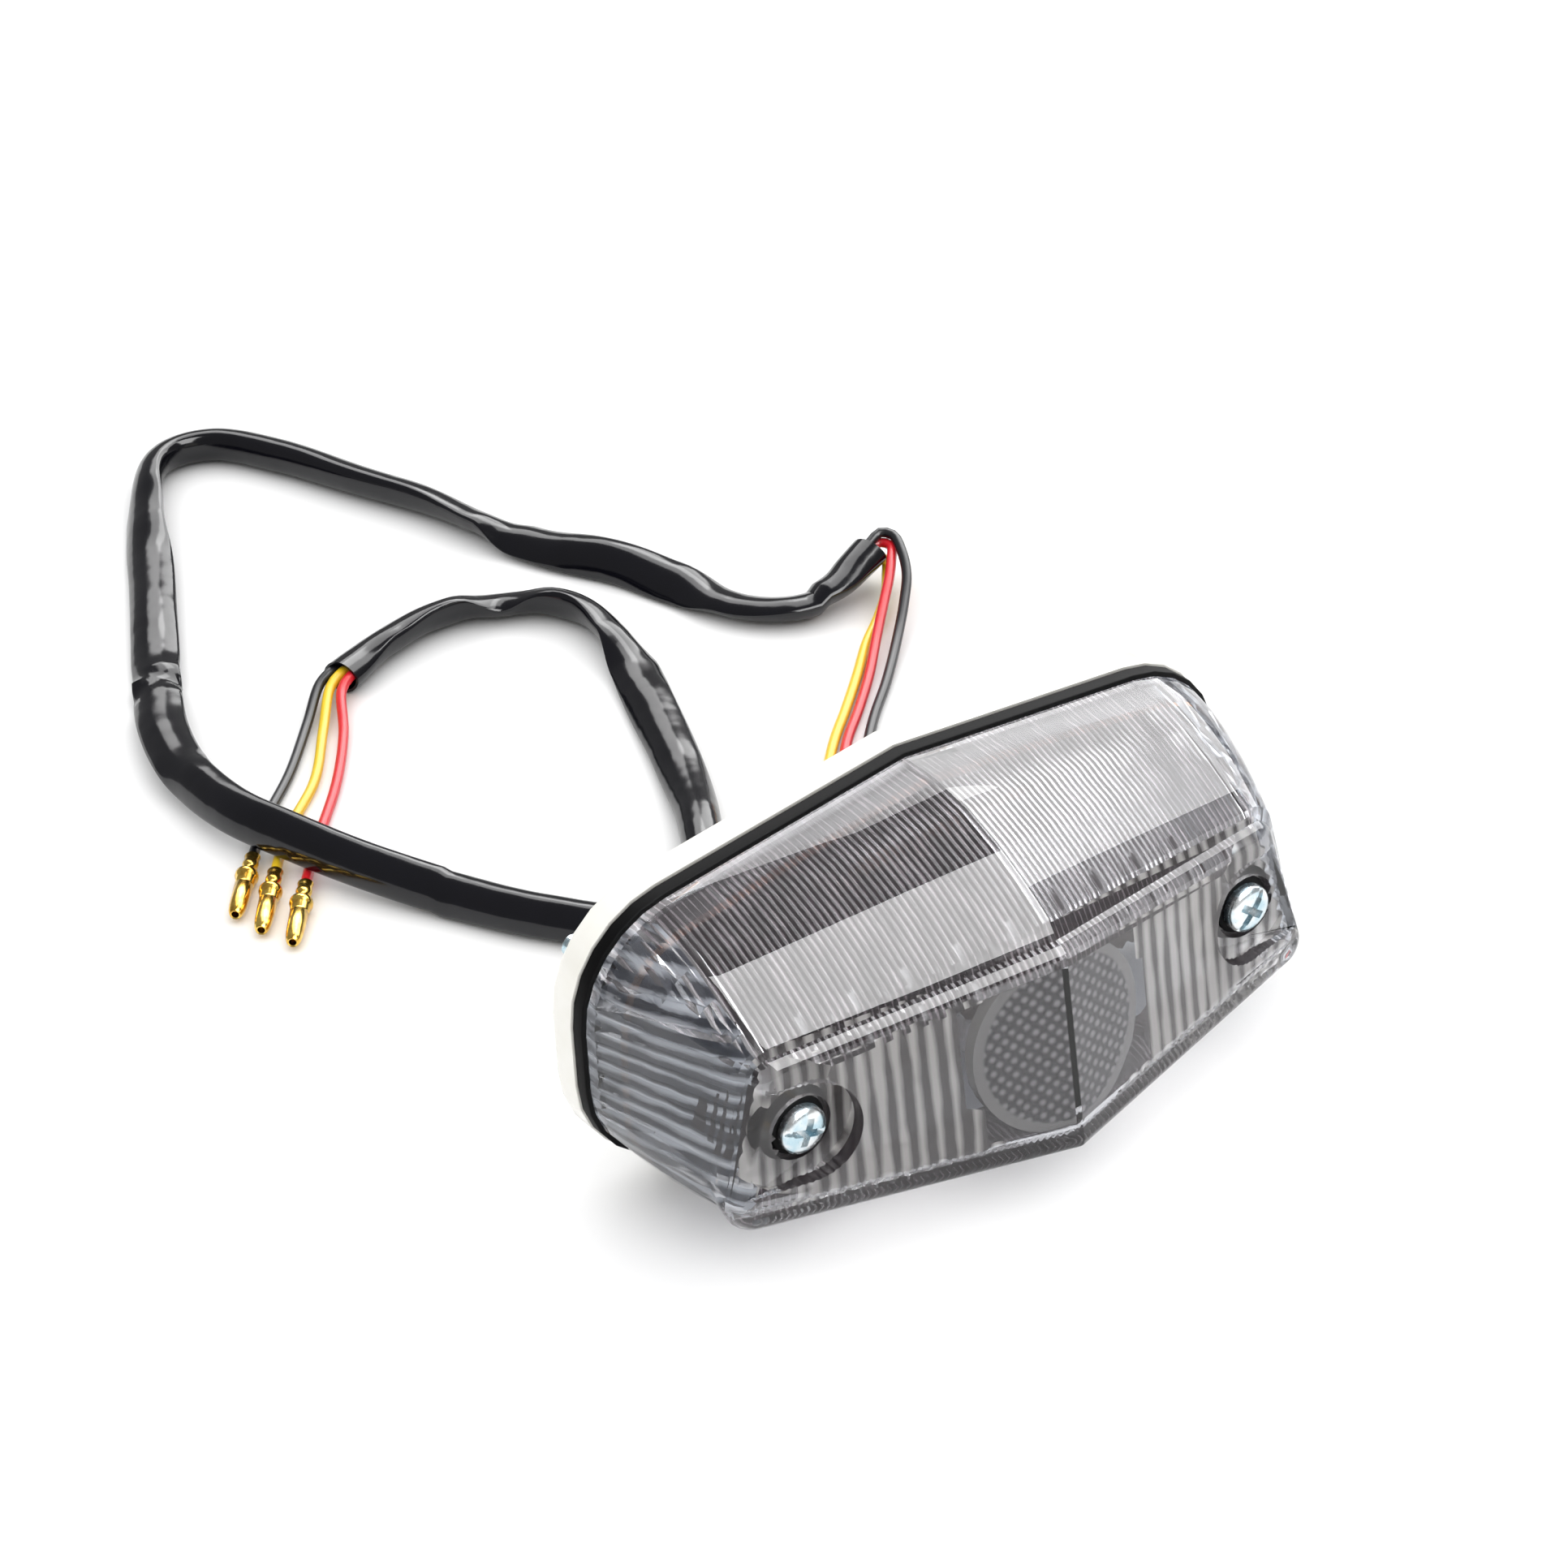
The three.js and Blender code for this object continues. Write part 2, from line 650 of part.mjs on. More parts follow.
const sleeveLow = 3.6;
const sleeveRoute = [
  [77.8, 113.5, 6.3], [73.4, 112.2, 5.4], [68, 110.8, 4.4], [60.5, 111.8, sleeveLow],
  [54.2, 118.4, sleeveLow], [50, 130, sleeveLow], [46, 141, sleeveLow], [40, 154, sleeveLow],
  [35, 168, sleeveLow], [31, 182, sleeveLow], [25, 197, sleeveLow], [19, 213, sleeveLow],
  [11.5, 225, sleeveLow], [0.5, 226, sleeveLow], [-10, 213, sleeveLow], [-19, 196, sleeveLow],
  [-28, 180, sleeveLow], [-37, 164, 3.8], [-44.5, 149, 4.4], [-48.8, 134, 5.2], [-49.3, 119, 6],
  [-46, 105.5, 6.2], [-40.5, 92, 5.2], [-33, 78, 3.9], [-25, 64, sleeveLow], [-15, 53, sleeveLow],
  [-1, 55, sleeveLow], [9, 69, sleeveLow], [17, 86, sleeveLow], [24, 104, sleeveLow],
  [30, 120, sleeveLow], [31, 135, sleeveLow], [23, 146, sleeveLow], [10, 149.5, sleeveLow],
  [-2, 148, sleeveLow], [-12, 144.5, sleeveLow],
];

const nearWires = {
  yellow: [[-0.8, 18, 20.6], [6.5, 32, 11.6], [17.5, 48.5, 3], [31, 65, 1], [42, 76.6, 1], [49.4, 83.1, 1],
    [57, 90, 1], [64.6, 97.2, 1], [70.3, 101.5, 1.5], [75, 105.4, 2.5], [78.1, 109, 3.5],
    [79.8, 112.1, 4.4], [79.4, 113.8, 4.6], [78.2, 113.6, 4.4]],
  red: [[1.6, 18, 20.2], [9, 31, 11.2], [20, 47, 3], [33, 63, 1], [43.5, 75, 1], [51, 81.6, 1],
    [58.5, 88.5, 1.3], [66, 96, 2.6], [71.5, 101.2, 4.2], [76, 105.4, 5.6], [79.3, 109, 6.5],
    [81.2, 112.2, 7], [80.3, 114.1, 6.8], [78.2, 113.6, 6.4]],
  black: [[4.2, 18, 19.8], [11.5, 30, 10.8], [22.5, 45.5, 3], [35.5, 60.5, 1], [46, 72.5, 1], [52, 78.5, 1],
    [60, 85.5, 1.2], [69, 94, 2.4], [74.5, 99.3, 4.3], [78.6, 103.8, 6.2], [81, 108.3, 7.8],
    [82.1, 112.1, 8.8], [80.7, 114.2, 9], [78.1, 113.6, 8.5]],
};

const farWires = {
  black: [[-13.1, 146.4, 3.6], [-16, 145, 3.1], [-23, 138.2, 1.5], [-33, 128, 1], [-42.9, 119.4, 1],
    [-50.8, 110.6, bulletRadius]],
  yellow: [[-12.4, 144.4, 3.6], [-15, 143.1, 3.1], [-21.8, 135, 1.5], [-31, 123.4, 1], [-42.6, 113.6, 1],
    [-50.2, 104.6, bulletRadius]],
  red: [[-11.7, 142.3, 3.6], [-14, 141.1, 3.1], [-19.8, 131.8, 1.5], [-28.5, 120.5, 1], [-40.8, 107.5, 1],
    [-48.2, 98.6, bulletRadius]],
};

const wireColours = { yellow: 0xf2c522, red: 0xd6202c, black: 0x17171a };

function makeHarness() {
  const grommet = turned([
    [0, grommetInner], [grommetFlange, grommetInner], [grommetFlange, floorFront - gap],
    [grommetRadius, floorFront - gap], [grommetRadius, baseBack + gap], [grommetFlange, baseBack + gap],
    [grommetFlange - grommetLip / 2, grommetOuter], [0, grommetOuter],
  ], roundSteps);
  grommet.translate(grommetX, 0, grommetZ);
  addPiece("wire_grommet", grommet, blackRubber());

  const sleeve = tube(onFloor(sleeveRoute), sleeveRadius, sleeveSteps, sleeveSides);
  addPiece("harness_sleeve", sleeve, blackVinyl());

  const wireX = { yellow: grommetX - wirePitch, red: grommetX, black: grommetX + wirePitch };
  for (const [colour, hex] of Object.entries(wireColours)) {
    const exit = [wireX[colour], grommetOuter + gap, grommetZ];
    const straight = [wireX[colour], grommetOuter + 2 * wireRadius, grommetZ];
    const near = [exit, straight, ...onFloor(nearWires[colour])];
    const far = onFloor(farWires[colour]);
    const inner = rod(wireRadius, boardBack + gap, grommetInner - gap, wireX[colour], grommetZ, wireSides);
    addPiece(`wire_${colour}_near`, tube(near, wireRadius, nearSteps, wireSides), finish(hex, 0.35, 0));
    addPiece(`wire_${colour}_far`, tube(far, wireRadius, farSteps, wireSides), finish(hex, 0.35, 0));
    addPiece(`wire_${colour}_inner`, inner, finish(hex, 0.35, 0));
    makeBullet(colour);
  }
}

// a crimped bullet connector that carries on in the direction of its wire
function makeBullet(colour) {
  const crimpEnd = crimpLength + crimpRadius - neckRadius;
  const bodyStart = shoulderEnd + 2 * (bulletRadius - bulletBodyRadius);
  const tipStart = bulletLength - 2 * bulletTipRadius;
  const geometry = turned([
    [0, 0], [crimpRadius, 0], [crimpRadius, crimpLength], [neckRadius, crimpEnd], [neckRadius, neckEnd],
    [bulletRadius, shoulderStart], [bulletRadius, shoulderEnd], [bulletBodyRadius, bodyStart],
    [(bulletBodyRadius * 2 + bulletTipRadius) / 3, tipStart], [bulletTipRadius, bulletLength],
    [0, bulletLength],
  ], smallSteps);
  const route = onFloor(farWires[colour]).map((p) => new THREE.Vector3(...p));
  const end = route[route.length - 1];
  const before = route[route.length - 2].clone().setZ(end.z);
  const along = end.clone().sub(before).normalize();
  geometry.applyQuaternion(new THREE.Quaternion().setFromUnitVectors(new THREE.Vector3(0, 1, 0), along));
  const place = end.clone().addScaledVector(along, gap);
  geometry.translate(place.x, place.y, place.z);
  addPiece(`bullet_${colour}`, geometry, brass());
}

makeBase();
makeGasket();
makeLens();
makeReflector();
makeFasteners();
makeBoard();
makeLeds();
makeBoardParts();
makeHarness();

export default group;
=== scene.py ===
import bpy
import bmesh
import math
from mathutils import Matrix, Quaternion, Vector


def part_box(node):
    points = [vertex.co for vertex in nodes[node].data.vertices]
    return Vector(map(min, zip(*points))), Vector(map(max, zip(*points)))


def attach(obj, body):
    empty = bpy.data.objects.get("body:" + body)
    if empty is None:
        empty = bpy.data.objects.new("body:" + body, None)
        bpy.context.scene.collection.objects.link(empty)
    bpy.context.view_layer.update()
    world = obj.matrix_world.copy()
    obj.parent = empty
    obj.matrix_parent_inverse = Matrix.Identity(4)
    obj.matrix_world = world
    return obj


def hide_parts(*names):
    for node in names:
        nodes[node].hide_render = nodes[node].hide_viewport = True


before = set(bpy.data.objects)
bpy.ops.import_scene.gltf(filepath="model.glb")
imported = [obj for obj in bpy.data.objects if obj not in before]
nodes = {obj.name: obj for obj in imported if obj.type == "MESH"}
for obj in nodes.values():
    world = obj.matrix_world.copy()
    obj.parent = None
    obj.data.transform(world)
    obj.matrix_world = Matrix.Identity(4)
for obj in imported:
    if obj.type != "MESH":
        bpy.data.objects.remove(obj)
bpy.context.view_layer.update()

# The light stands upright on the floor: +Z up, lens towards -Y. lensPlane is the middle of the
# plane where lens and gasket meet, and the cord routes are measured from it in x and y.
mm = 0.001
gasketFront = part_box("lens_gasket")[0].y
baseLow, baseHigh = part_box("base_housing")
lensPlane = Vector((0, gasketFront - 0.15 * mm, baseHigh.z / 2))


def deselectAll():
    if bpy.context.object and bpy.context.object.mode != "OBJECT":
        bpy.ops.object.mode_set(mode="OBJECT")
    bpy.ops.object.select_all(action="DESELECT")


def makeActive(piece):
    deselectAll()
    piece.select_set(True)
    bpy.context.view_layer.objects.active = piece


def linear(hexColour):  # from a hex colour to the linear light values that shaders take
    channels = [int(hexColour[i:i + 2], 16) / 255 for i in (1, 3, 5)]
    return [c / 12.92 if c <= 0.04045 else ((c + 0.055) / 1.055) ** 2.4 for c in channels] + [1]


def addNode(material, kind, settings=None, links=None):
    tree = material.node_tree
    node = tree.nodes.new(kind)
    for name, value in (settings or {}).items():
        if isinstance(name, int) or name in node.inputs:
            node.inputs[name].default_value = value
        else:
            setattr(node, name, value)
    for name, socket in (links or {}).items():
        tree.links.new(socket, node.inputs[name])
    return node


def newMaterial(name, **values):
    material = bpy.data.materials.new(name)
    material.use_nodes = True
    shader = material.node_tree.nodes["Principled BSDF"]
    for key, value in values.items():
        shader.inputs[key.replace("_", " ")].default_value = value
    return material, shader


def paint(piece, material):
    piece.data.materials.clear()
    piece.data.materials.append(material)


def noise(material, scale, detail=3):
    where = addNode(material, "ShaderNodeTexCoord")
    return addNode(material, "ShaderNodeTexNoise", {"Scale": scale, "Detail": detail},
                   {"Vector": where.outputs["Object"]})


def colourFrom(material, shader, level, stops):
    ramp = addNode(material, "ShaderNodeValToRGB", None, {"Fac": level})
    for element, (place, colour) in zip(ramp.color_ramp.elements, stops):
        element.position = place
        element.color = linear(colour)
    material.node_tree.links.new(ramp.outputs["Color"], shader.inputs["Base Color"])
    return ramp


def bumpFrom(material, shader, level, strength, distance, under=None):
    links = {"Height": level}
    if under:
        links["Normal"] = under.outputs["Normal"]
    bump = addNode(material, "ShaderNodeBump", {"Strength": strength, "Distance": distance}, links)
    material.node_tree.links.new(bump.outputs["Normal"], shader.inputs["Normal"])
    return bump


def mottle(material, shader, scale, low, high, detail=3):
    cloud = noise(material, scale, detail)
    colourFrom(material, shader, cloud.outputs["Fac"], ((0, low), (1, high)))
    return cloud


def placeInMesh(piece):
    piece.data.transform(piece.matrix_world)
    piece.matrix_world.identity()


def applyModifier(piece, kind, **settings):
    makeActive(piece)
    modifier = piece.modifiers.new(kind.title(), kind)
    for key, value in settings.items():
        setattr(modifier, key, value)
    bpy.ops.object.modifier_apply(modifier=modifier.name)


def smooth(piece, degrees):
    makeActive(piece)
    bpy.ops.object.shade_smooth_by_angle(angle=math.radians(degrees))


def copyOfNode(node, name):
    piece = bpy.data.objects.new(name, nodes[node].data.copy())
    bpy.context.scene.collection.objects.link(piece)
    makeActive(piece)
    bpy.ops.object.mode_set(mode="EDIT")
    bpy.ops.mesh.select_all(action="SELECT")
    bpy.ops.mesh.remove_doubles(threshold=0.002 * mm)
    bpy.ops.mesh.dissolve_limited(angle_limit=math.radians(0.5))
    bpy.ops.object.mode_set(mode="OBJECT")
    if piece.data.has_custom_normals:
        bpy.ops.mesh.customdata_custom_splitnormals_clear()
    return piece


def keepCreaseSharp(piece):  # the V crease lies on x = 0
    for edge in piece.data.edges:
        if all(abs(piece.data.vertices[i].co.x) < 0.02 * mm for i in edge.vertices):
            edge.use_edge_sharp = True
    # large faces stay flat up to the crease
    applyModifier(piece, "WEIGHTED_NORMAL", mode="FACE_AREA", weight=50, keep_sharp=True)


def centreOf(node):
    low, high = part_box(node)
    return Vector(((low.x + high.x) / 2, (low.y + high.y) / 2, (low.z + high.z) / 2))


def crossed(faces, axis, level):
    return [f for f in faces
            if min(v.co[axis] for v in f.verts) < level < max(v.co[axis] for v in f.verts)]


def sliceFaces(mesh, wanted, axis, levels):  # cuts only the wanted faces, so the rest stays coarse
    direction = Vector((0, 0, 0))
    direction[axis] = 1
    for level in levels:
        mesh.normal_update()
        faces = crossed([f for f in mesh.faces if wanted(f.calc_center_median(), f.normal)], axis, level)
        around = list({e for f in faces for e in f.edges}) + list({v for f in faces for v in f.verts})
        bmesh.ops.bisect_plane(mesh, geom=faces + around, plane_co=direction * level,
                               plane_no=direction, dist=1e-7)


def finishPiece(piece, body, material, replaced):
    paint(piece, material)
    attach(piece, body)
    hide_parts(*replaced)
    return piece


cameraPlace = {  # angles in degrees, seen from the lens's front; distances in metres
    "azimuth": -34.835,
    "elevation": 34.465,
    "roll": -3.11,
    "distance": 0.815,
    "lens": 120.17,
    "aimRight": 0.0053,
    "aimBack": 0.03905,
}


def makeCamera(c):
    data = bpy.data.cameras.new("camera")
    data.lens = c["lens"]
    data.sensor_width = 36
    camera = bpy.data.objects.new("camera", data)
    bpy.context.scene.collection.objects.link(camera)
    azimuth, elevation = math.radians(c["azimuth"]), math.radians(c["elevation"])
    back = Vector((
        math.sin(azimuth) * math.cos(elevation),
        -math.cos(azimuth) * math.cos(elevation),
        math.sin(elevation),
    ))
    aim = lensPlane + Vector((c["aimRight"], c["aimBack"], 0))
    camera.location = aim + back * c["distance"]
    turn = Quaternion((0, 0, 1), math.radians(c["roll"]))
    camera.rotation_mode = "QUATERNION"
    camera.rotation_quaternion = (-back).to_track_quat("-Z", "Y") @ turn
    data.clip_start = 0.01
    bpy.context.scene.camera = camera


makeCamera(cameraPlace)
print("camera placed")


# x and y from the lens plane's middle, z from the floor, in metres
sleeveRoute = [
    (0.0778, 0.1135, 0.0063), (0.0734, 0.1122, 0.0054), (0.068, 0.1108, 0.0044), (0.0605, 0.1118, 0.0036),
    (0.0542, 0.1184, 0.0036), (0.050, 0.130, 0.0036), (0.046, 0.141, 0.0036), (0.040, 0.154, 0.0036),
    (0.035, 0.168, 0.0036), (0.031, 0.182, 0.0036), (0.025, 0.197, 0.0036), (0.019, 0.213, 0.0036),
    (0.0115, 0.225, 0.0036), (0.0005, 0.226, 0.0036), (-0.010, 0.213, 0.0036), (-0.019, 0.196, 0.0036),
    (-0.028, 0.180, 0.0036), (-0.037, 0.164, 0.0038), (-0.0445, 0.149, 0.0044), (-0.0488, 0.134, 0.0052),
    (-0.0493, 0.119, 0.006), (-0.046, 0.1055, 0.0062), (-0.0405, 0.092, 0.0052), (-0.033, 0.078, 0.0039),
    (-0.025, 0.064, 0.0036), (-0.015, 0.053, 0.0036), (-0.001, 0.055, 0.0036), (0.009, 0.069, 0.0036),
    (0.017, 0.086, 0.0036), (0.024, 0.104, 0.0036), (0.030, 0.120, 0.0036), (0.031, 0.135, 0.0036),
    (0.023, 0.146, 0.0036), (0.010, 0.1495, 0.0036), (-0.002, 0.148, 0.0036), (-0.012, 0.1445, 0.0036),
]
# from the grommet into the sleeve's near mouth
nearRoutes = {
    "yellow": [
        (-0.0008, 0.018, 0.0206), (0.0065, 0.032, 0.0116), (0.0175, 0.0485, 0.003), (0.031, 0.065, 0.001),
        (0.042, 0.0766, 0.001), (0.0494, 0.0831, 0.001), (0.057, 0.090, 0.001), (0.0646, 0.0972, 0.001),
        (0.0703, 0.1015, 0.0015), (0.075, 0.1054, 0.0025), (0.0781, 0.109, 0.0035), (0.0802, 0.112, 0.0044),
        (0.0796, 0.114, 0.0046), (0.0776, 0.1137, 0.0046), (0.074, 0.1126, 0.0044),
    ],
    "red": [
        (0.0016, 0.018, 0.0202), (0.009, 0.031, 0.0112), (0.020, 0.047, 0.003), (0.033, 0.063, 0.001),
        (0.0435, 0.075, 0.001), (0.051, 0.0816, 0.001), (0.0585, 0.0885, 0.0013), (0.066, 0.096, 0.0026),
        (0.0715, 0.1012, 0.0042), (0.076, 0.1054, 0.0056), (0.0793, 0.109, 0.0065), (0.0814, 0.1119, 0.0069),
        (0.0806, 0.1141, 0.0068), (0.0783, 0.1138, 0.0063), (0.0742, 0.1126, 0.0056),
    ],
    "black": [
        (0.0042, 0.018, 0.0198), (0.0115, 0.030, 0.0108), (0.0225, 0.0455, 0.003), (0.0355, 0.0605, 0.001),
        (0.046, 0.0725, 0.001), (0.052, 0.0785, 0.001), (0.060, 0.0855, 0.0012), (0.069, 0.094, 0.0024),
        (0.0745, 0.0993, 0.0043), (0.0786, 0.1038, 0.0062), (0.081, 0.1083, 0.0078),
        (0.0821, 0.1121, 0.0087), (0.0808, 0.1142, 0.0087), (0.0782, 0.1137, 0.0079),
        (0.0742, 0.1126, 0.0069),
    ],
}
# from inside the sleeve's far mouth to the bullets
farRoutes = {
    "black": [
        (-0.0086, 0.1474, 0.0038), (-0.0131, 0.1462, 0.0037), (-0.016, 0.145, 0.0031),
        (-0.023, 0.1382, 0.0015), (-0.033, 0.128, 0.001), (-0.0429, 0.1194, 0.001),
        (-0.0508, 0.1106, 0.00195),
    ],
    "yellow": [
        (-0.0082, 0.1458, 0.0038), (-0.0124, 0.1444, 0.0037), (-0.015, 0.1431, 0.0031),
        (-0.0218, 0.135, 0.0015), (-0.031, 0.1234, 0.001), (-0.0426, 0.1136, 0.001),
        (-0.0502, 0.1046, 0.00195),
    ],
    "red": [
        (-0.0076, 0.1442, 0.0038), (-0.0117, 0.1425, 0.0037), (-0.014, 0.1411, 0.0031),
        (-0.0198, 0.1318, 0.0015), (-0.0285, 0.1205, 0.001), (-0.0408, 0.1075, 0.001),
        (-0.0482, 0.0986, 0.00195),
    ],
}
wireColours = {"yellow": "#f7cf2a", "red": "#e0222e", "black": "#17171b"}


def inFrame(points):
    return [Vector((x, y + lensPlane.y, z)) for x, y, z in points]


def mixed(a, b, k):
    return a + (b - a) * k


def pathThrough(points, step, power=0):
    line = []
    ends = [points[0] * 2 - points[1]] + points + [points[-1] * 2 - points[-2]]
    for a, b, c, d in zip(ends, ends[1:], ends[2:], ends[3:]):
        knotB = (b - a).length ** power
        knotC = knotB + (c - b).length ** power
        knotD = knotC + (d - c).length ** power
        count = max(2, round((c - b).length / step))
        for i in range(count):
            t = knotB + (knotC - knotB) * i / count
            ab = mixed(a, b, t / knotB)
            bc = mixed(b, c, (t - knotB) / (knotC - knotB))
            cd = mixed(c, d, (t - knotC) / (knotD - knotC))
            left = mixed(ab, bc, t / knotC)
            right = mixed(bc, cd, (t - knotB) / (knotD - knotB))
            line.append(mixed(left, right, (t - knotB) / (knotC - knotB)))
    return line + [points[-1]]


def pathLength(line):
    return sum((b - a).length for a, b in zip(line, line[1:]))


wire = {
    "radius": 0.9 * mm,
    "pitch": 2.2 * mm,
    "grommetZ": -6 * mm,
    "lead": 1.5 * mm,
    "step": 1.2 * mm,
    "shade": 0.82,
}


def wireMaterial(name, colour):  # satin extruded vinyl, faintly mottled so that the colour isn't flat
    material, shader = newMaterial(name + "ExtrudedVinyl", Roughness=0.32)
    speck = noise(material, 900)
    ramp = colourFrom(material, shader, speck.outputs["Fac"], ((0, colour), (1, colour)))
    ramp.color_ramp.elements[0].color = [c * wire["shade"] for c in linear(colour)[:3]] + [1]
    bumpFrom(material, shader, speck.outputs["Fac"], 0.12, 0.05 * mm)
    return material


def makeWire(name, points, material, replaced):
    line = pathThrough(points, wire["step"], 0.5)  # knots by root distance: no loop between close points
    data = bpy.data.curves.new(name, "CURVE")
    data.dimensions = "3D"
    data.bevel_depth = wire["radius"]
    data.bevel_resolution = 4
    data.use_fill_caps = True
    spline = data.splines.new("POLY")
    spline.points.add(len(line) - 1)
    for point, place in zip(spline.points, line):
        point.co = (*place, 1)
    spline.use_smooth = True
    piece = bpy.data.objects.new(name, data)
    bpy.context.scene.collection.objects.link(piece)
    data.materials.append(material)
    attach(piece, "housing")
    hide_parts(replaced)
    return piece, line


def turnProfile(name, profile, centre, axis, steps, closed=False):
    side = axis.orthogonal().normalized()
    points = [centre + side * r + axis * along for r, along in profile]
    edges = [(i, i + 1) for i in range(len(points) - 1)]
    if closed:
        edges.append((len(points) - 1, 0))
    data = bpy.data.meshes.new(name)
    data.from_pydata(points, edges, [])
    piece = bpy.data.objects.new(name, data)
    bpy.context.scene.collection.objects.link(piece)
    makeActive(piece)
    bpy.ops.object.mode_set(mode="EDIT")
    bpy.ops.mesh.select_all(action="SELECT")
    bpy.ops.mesh.spin(steps=steps, angle=2 * math.pi, center=centre, axis=axis)
    bpy.ops.mesh.select_all(action="SELECT")
    bpy.ops.mesh.remove_doubles(threshold=0.0005 * mm)
    bpy.ops.mesh.normals_make_consistent(inside=False)
    bpy.ops.object.mode_set(mode="OBJECT")
    return piece


def brassMaterial(name, bright, dark, roughness):  # bright metal with soft darker tarnish
    material, shader = newMaterial(name, Metallic=1.0, Roughness=roughness)
    stain = noise(material, 500)
    colourFrom(material, shader, stain.outputs["Fac"], ((0.3, dark), (0.6, bright)))
    return material


# distance from the bullet's open crimp, and radius there, in millimetres
bulletProfile = [
    (0.9, 0), (0.9, 1.02), (0, 1.05), (0.05, 1.3), (0.3, 1.36), (0.9, 1.22), (1.5, 1.22), (2.1, 1.36),
    (2.9, 1.3), (3.3, 1.05), (3.6, 0.95), (4.3, 0.95), (4.6, 1.1), (4.95, 1.75), (5.3, 1.95),
    (5.95, 1.95), (6.3, 1.8), (6.7, 1.6), (8.0, 1.58), (8.1, 1.52), (8.5, 1.52), (8.6, 1.57),
    (11.5, 1.5), (14.0, 1.42), (15.3, 1.25), (16.0, 1.02), (16.2, 0.85), (16.1, 0.62), (11.5, 0.6),
    (11.3, 0),
]
bullet = {"crimpLength": 3.2 * mm, "squeeze": 0.22, "sides": 36, "setBack": 0.3 * mm}


def makeBullet(colour, route, gold):
    along = Vector((route[-1].x - route[-2].x, route[-1].y - route[-2].y, 0)).normalized()
    start = route[-1] + along * bullet["setBack"]
    profile = [(radius * mm, distance * mm) for distance, radius in bulletProfile]
    piece = turnProfile(f"gold_bullet_{colour}", profile, start, along, bullet["sides"])
    for vert in piece.data.vertices:
        offset = vert.co - start
        left = bullet["crimpLength"] - offset.dot(along)
        if left > 0:  # the crimp is squeezed flat on the wire
            vert.co.z -= offset.z * bullet["squeeze"] * min(1, left / mm)
    smooth(piece, 40)
    return finishPiece(piece, "housing", gold, [f"bullet_{colour}"])


def makeWires():
    gold = brassMaterial("goldFlashedBrass", "#f3cf6b", "#cf9a37", 0.2)
    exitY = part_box("wire_grommet")[1].y + 0.3 * mm
    for index, (colour, hexColour) in enumerate(wireColours.items()):
        material = wireMaterial(colour, hexColour)
        exitPoint = Vector(((index - 1) * wire["pitch"], exitY, lensPlane.z + wire["grommetZ"]))
        near = [exitPoint, exitPoint + Vector((0, wire["lead"], 0))] + inFrame(nearRoutes[colour])
        piece, line = makeWire(f"near_wire_{colour}", near, material, f"wire_{colour}_near")
        far = inFrame(farRoutes[colour])
        piece, line = makeWire(f"far_wire_{colour}", far, material, f"wire_{colour}_far")
        end = makeBullet(colour, far, gold)
        paint(nodes[f"wire_{colour}_inner"], material)


makeWires()

sleeve = {
    "diameter": 7 * mm,
    "wall": 0.5 * mm,
    "step": 1.4 * mm,
    "sides": 28,
    "mouthDepth": 10 * mm,
    "spread": 0.24,  # a fully flat stretch is this much wider,
    "press": 0.46,  # and this much thinner, than the round tube
    "fold": 0.55,  # how much a creased edge is pinched
    "floorReach": 4 * mm,  # lower than this, the tube lies on the floor
    "floorGap": 0.1 * mm,
    # along the route from 0 to 1: how flat the tube is pressed, how sharp its two edges are, and
    # how far its flat side leans from the floor in degrees
    "shape": [
        (0.0, 0.4, 0.5, 10), (0.03, 0.8, 0.9, 25), (0.06, 0.95, 0.9, 12), (0.085, 0.9, 0.8, -25),
        (0.11, 0.6, 0.5, -40), (0.145, 0.85, 0.9, -10), (0.165, 0.9, 0.9, 35), (0.2, 0.6, 0.6, 50),
        (0.26, 0.3, 0.3, 55), (0.31, 0.55, 0.5, 60), (0.345, 0.95, 0.9, 35), (0.375, 0.9, 0.8, 12),
        (0.40, 0.85, 0.7, 8), (0.435, 0.95, 0.9, 6), (0.447, 0.9, 1.0, 16), (0.452, 1.0, 1.0, -14),
        (0.458, 0.9, 1.0, 12), (0.48, 0.95, 0.9, 4), (0.505, 0.95, 0.9, 8), (0.525, 0.7, 0.7, 40),
        (0.56, 0.6, 0.6, 55), (0.61, 0.45, 0.5, 55), (0.66, 0.2, 0.2, 40), (0.75, 0.1, 0.1, 0),
        (0.8, 0.7, 0.7, -12), (0.84, 0.9, 0.9, -14), (0.858, 0.95, 1.0, 0), (0.88, 0.8, 0.8, 40),
        (0.905, 0.7, 0.8, 60), (0.93, 0.95, 0.9, 18), (0.95, 0.8, 0.8, 55), (0.975, 0.6, 0.6, 40),
        (1.0, 0.35, 0.5, 10),
    ],
}


def between(table, t):  # eases from one row of the table to the next
    for low, high in zip(table, table[1:]):
        if t <= high[0]:
            k = (t - low[0]) / (high[0] - low[0])
            k = k * k * (3 - 2 * k)
            return [a + (b - a) * k for a, b in zip(low[1:], high[1:])]
    return table[-1][1:]


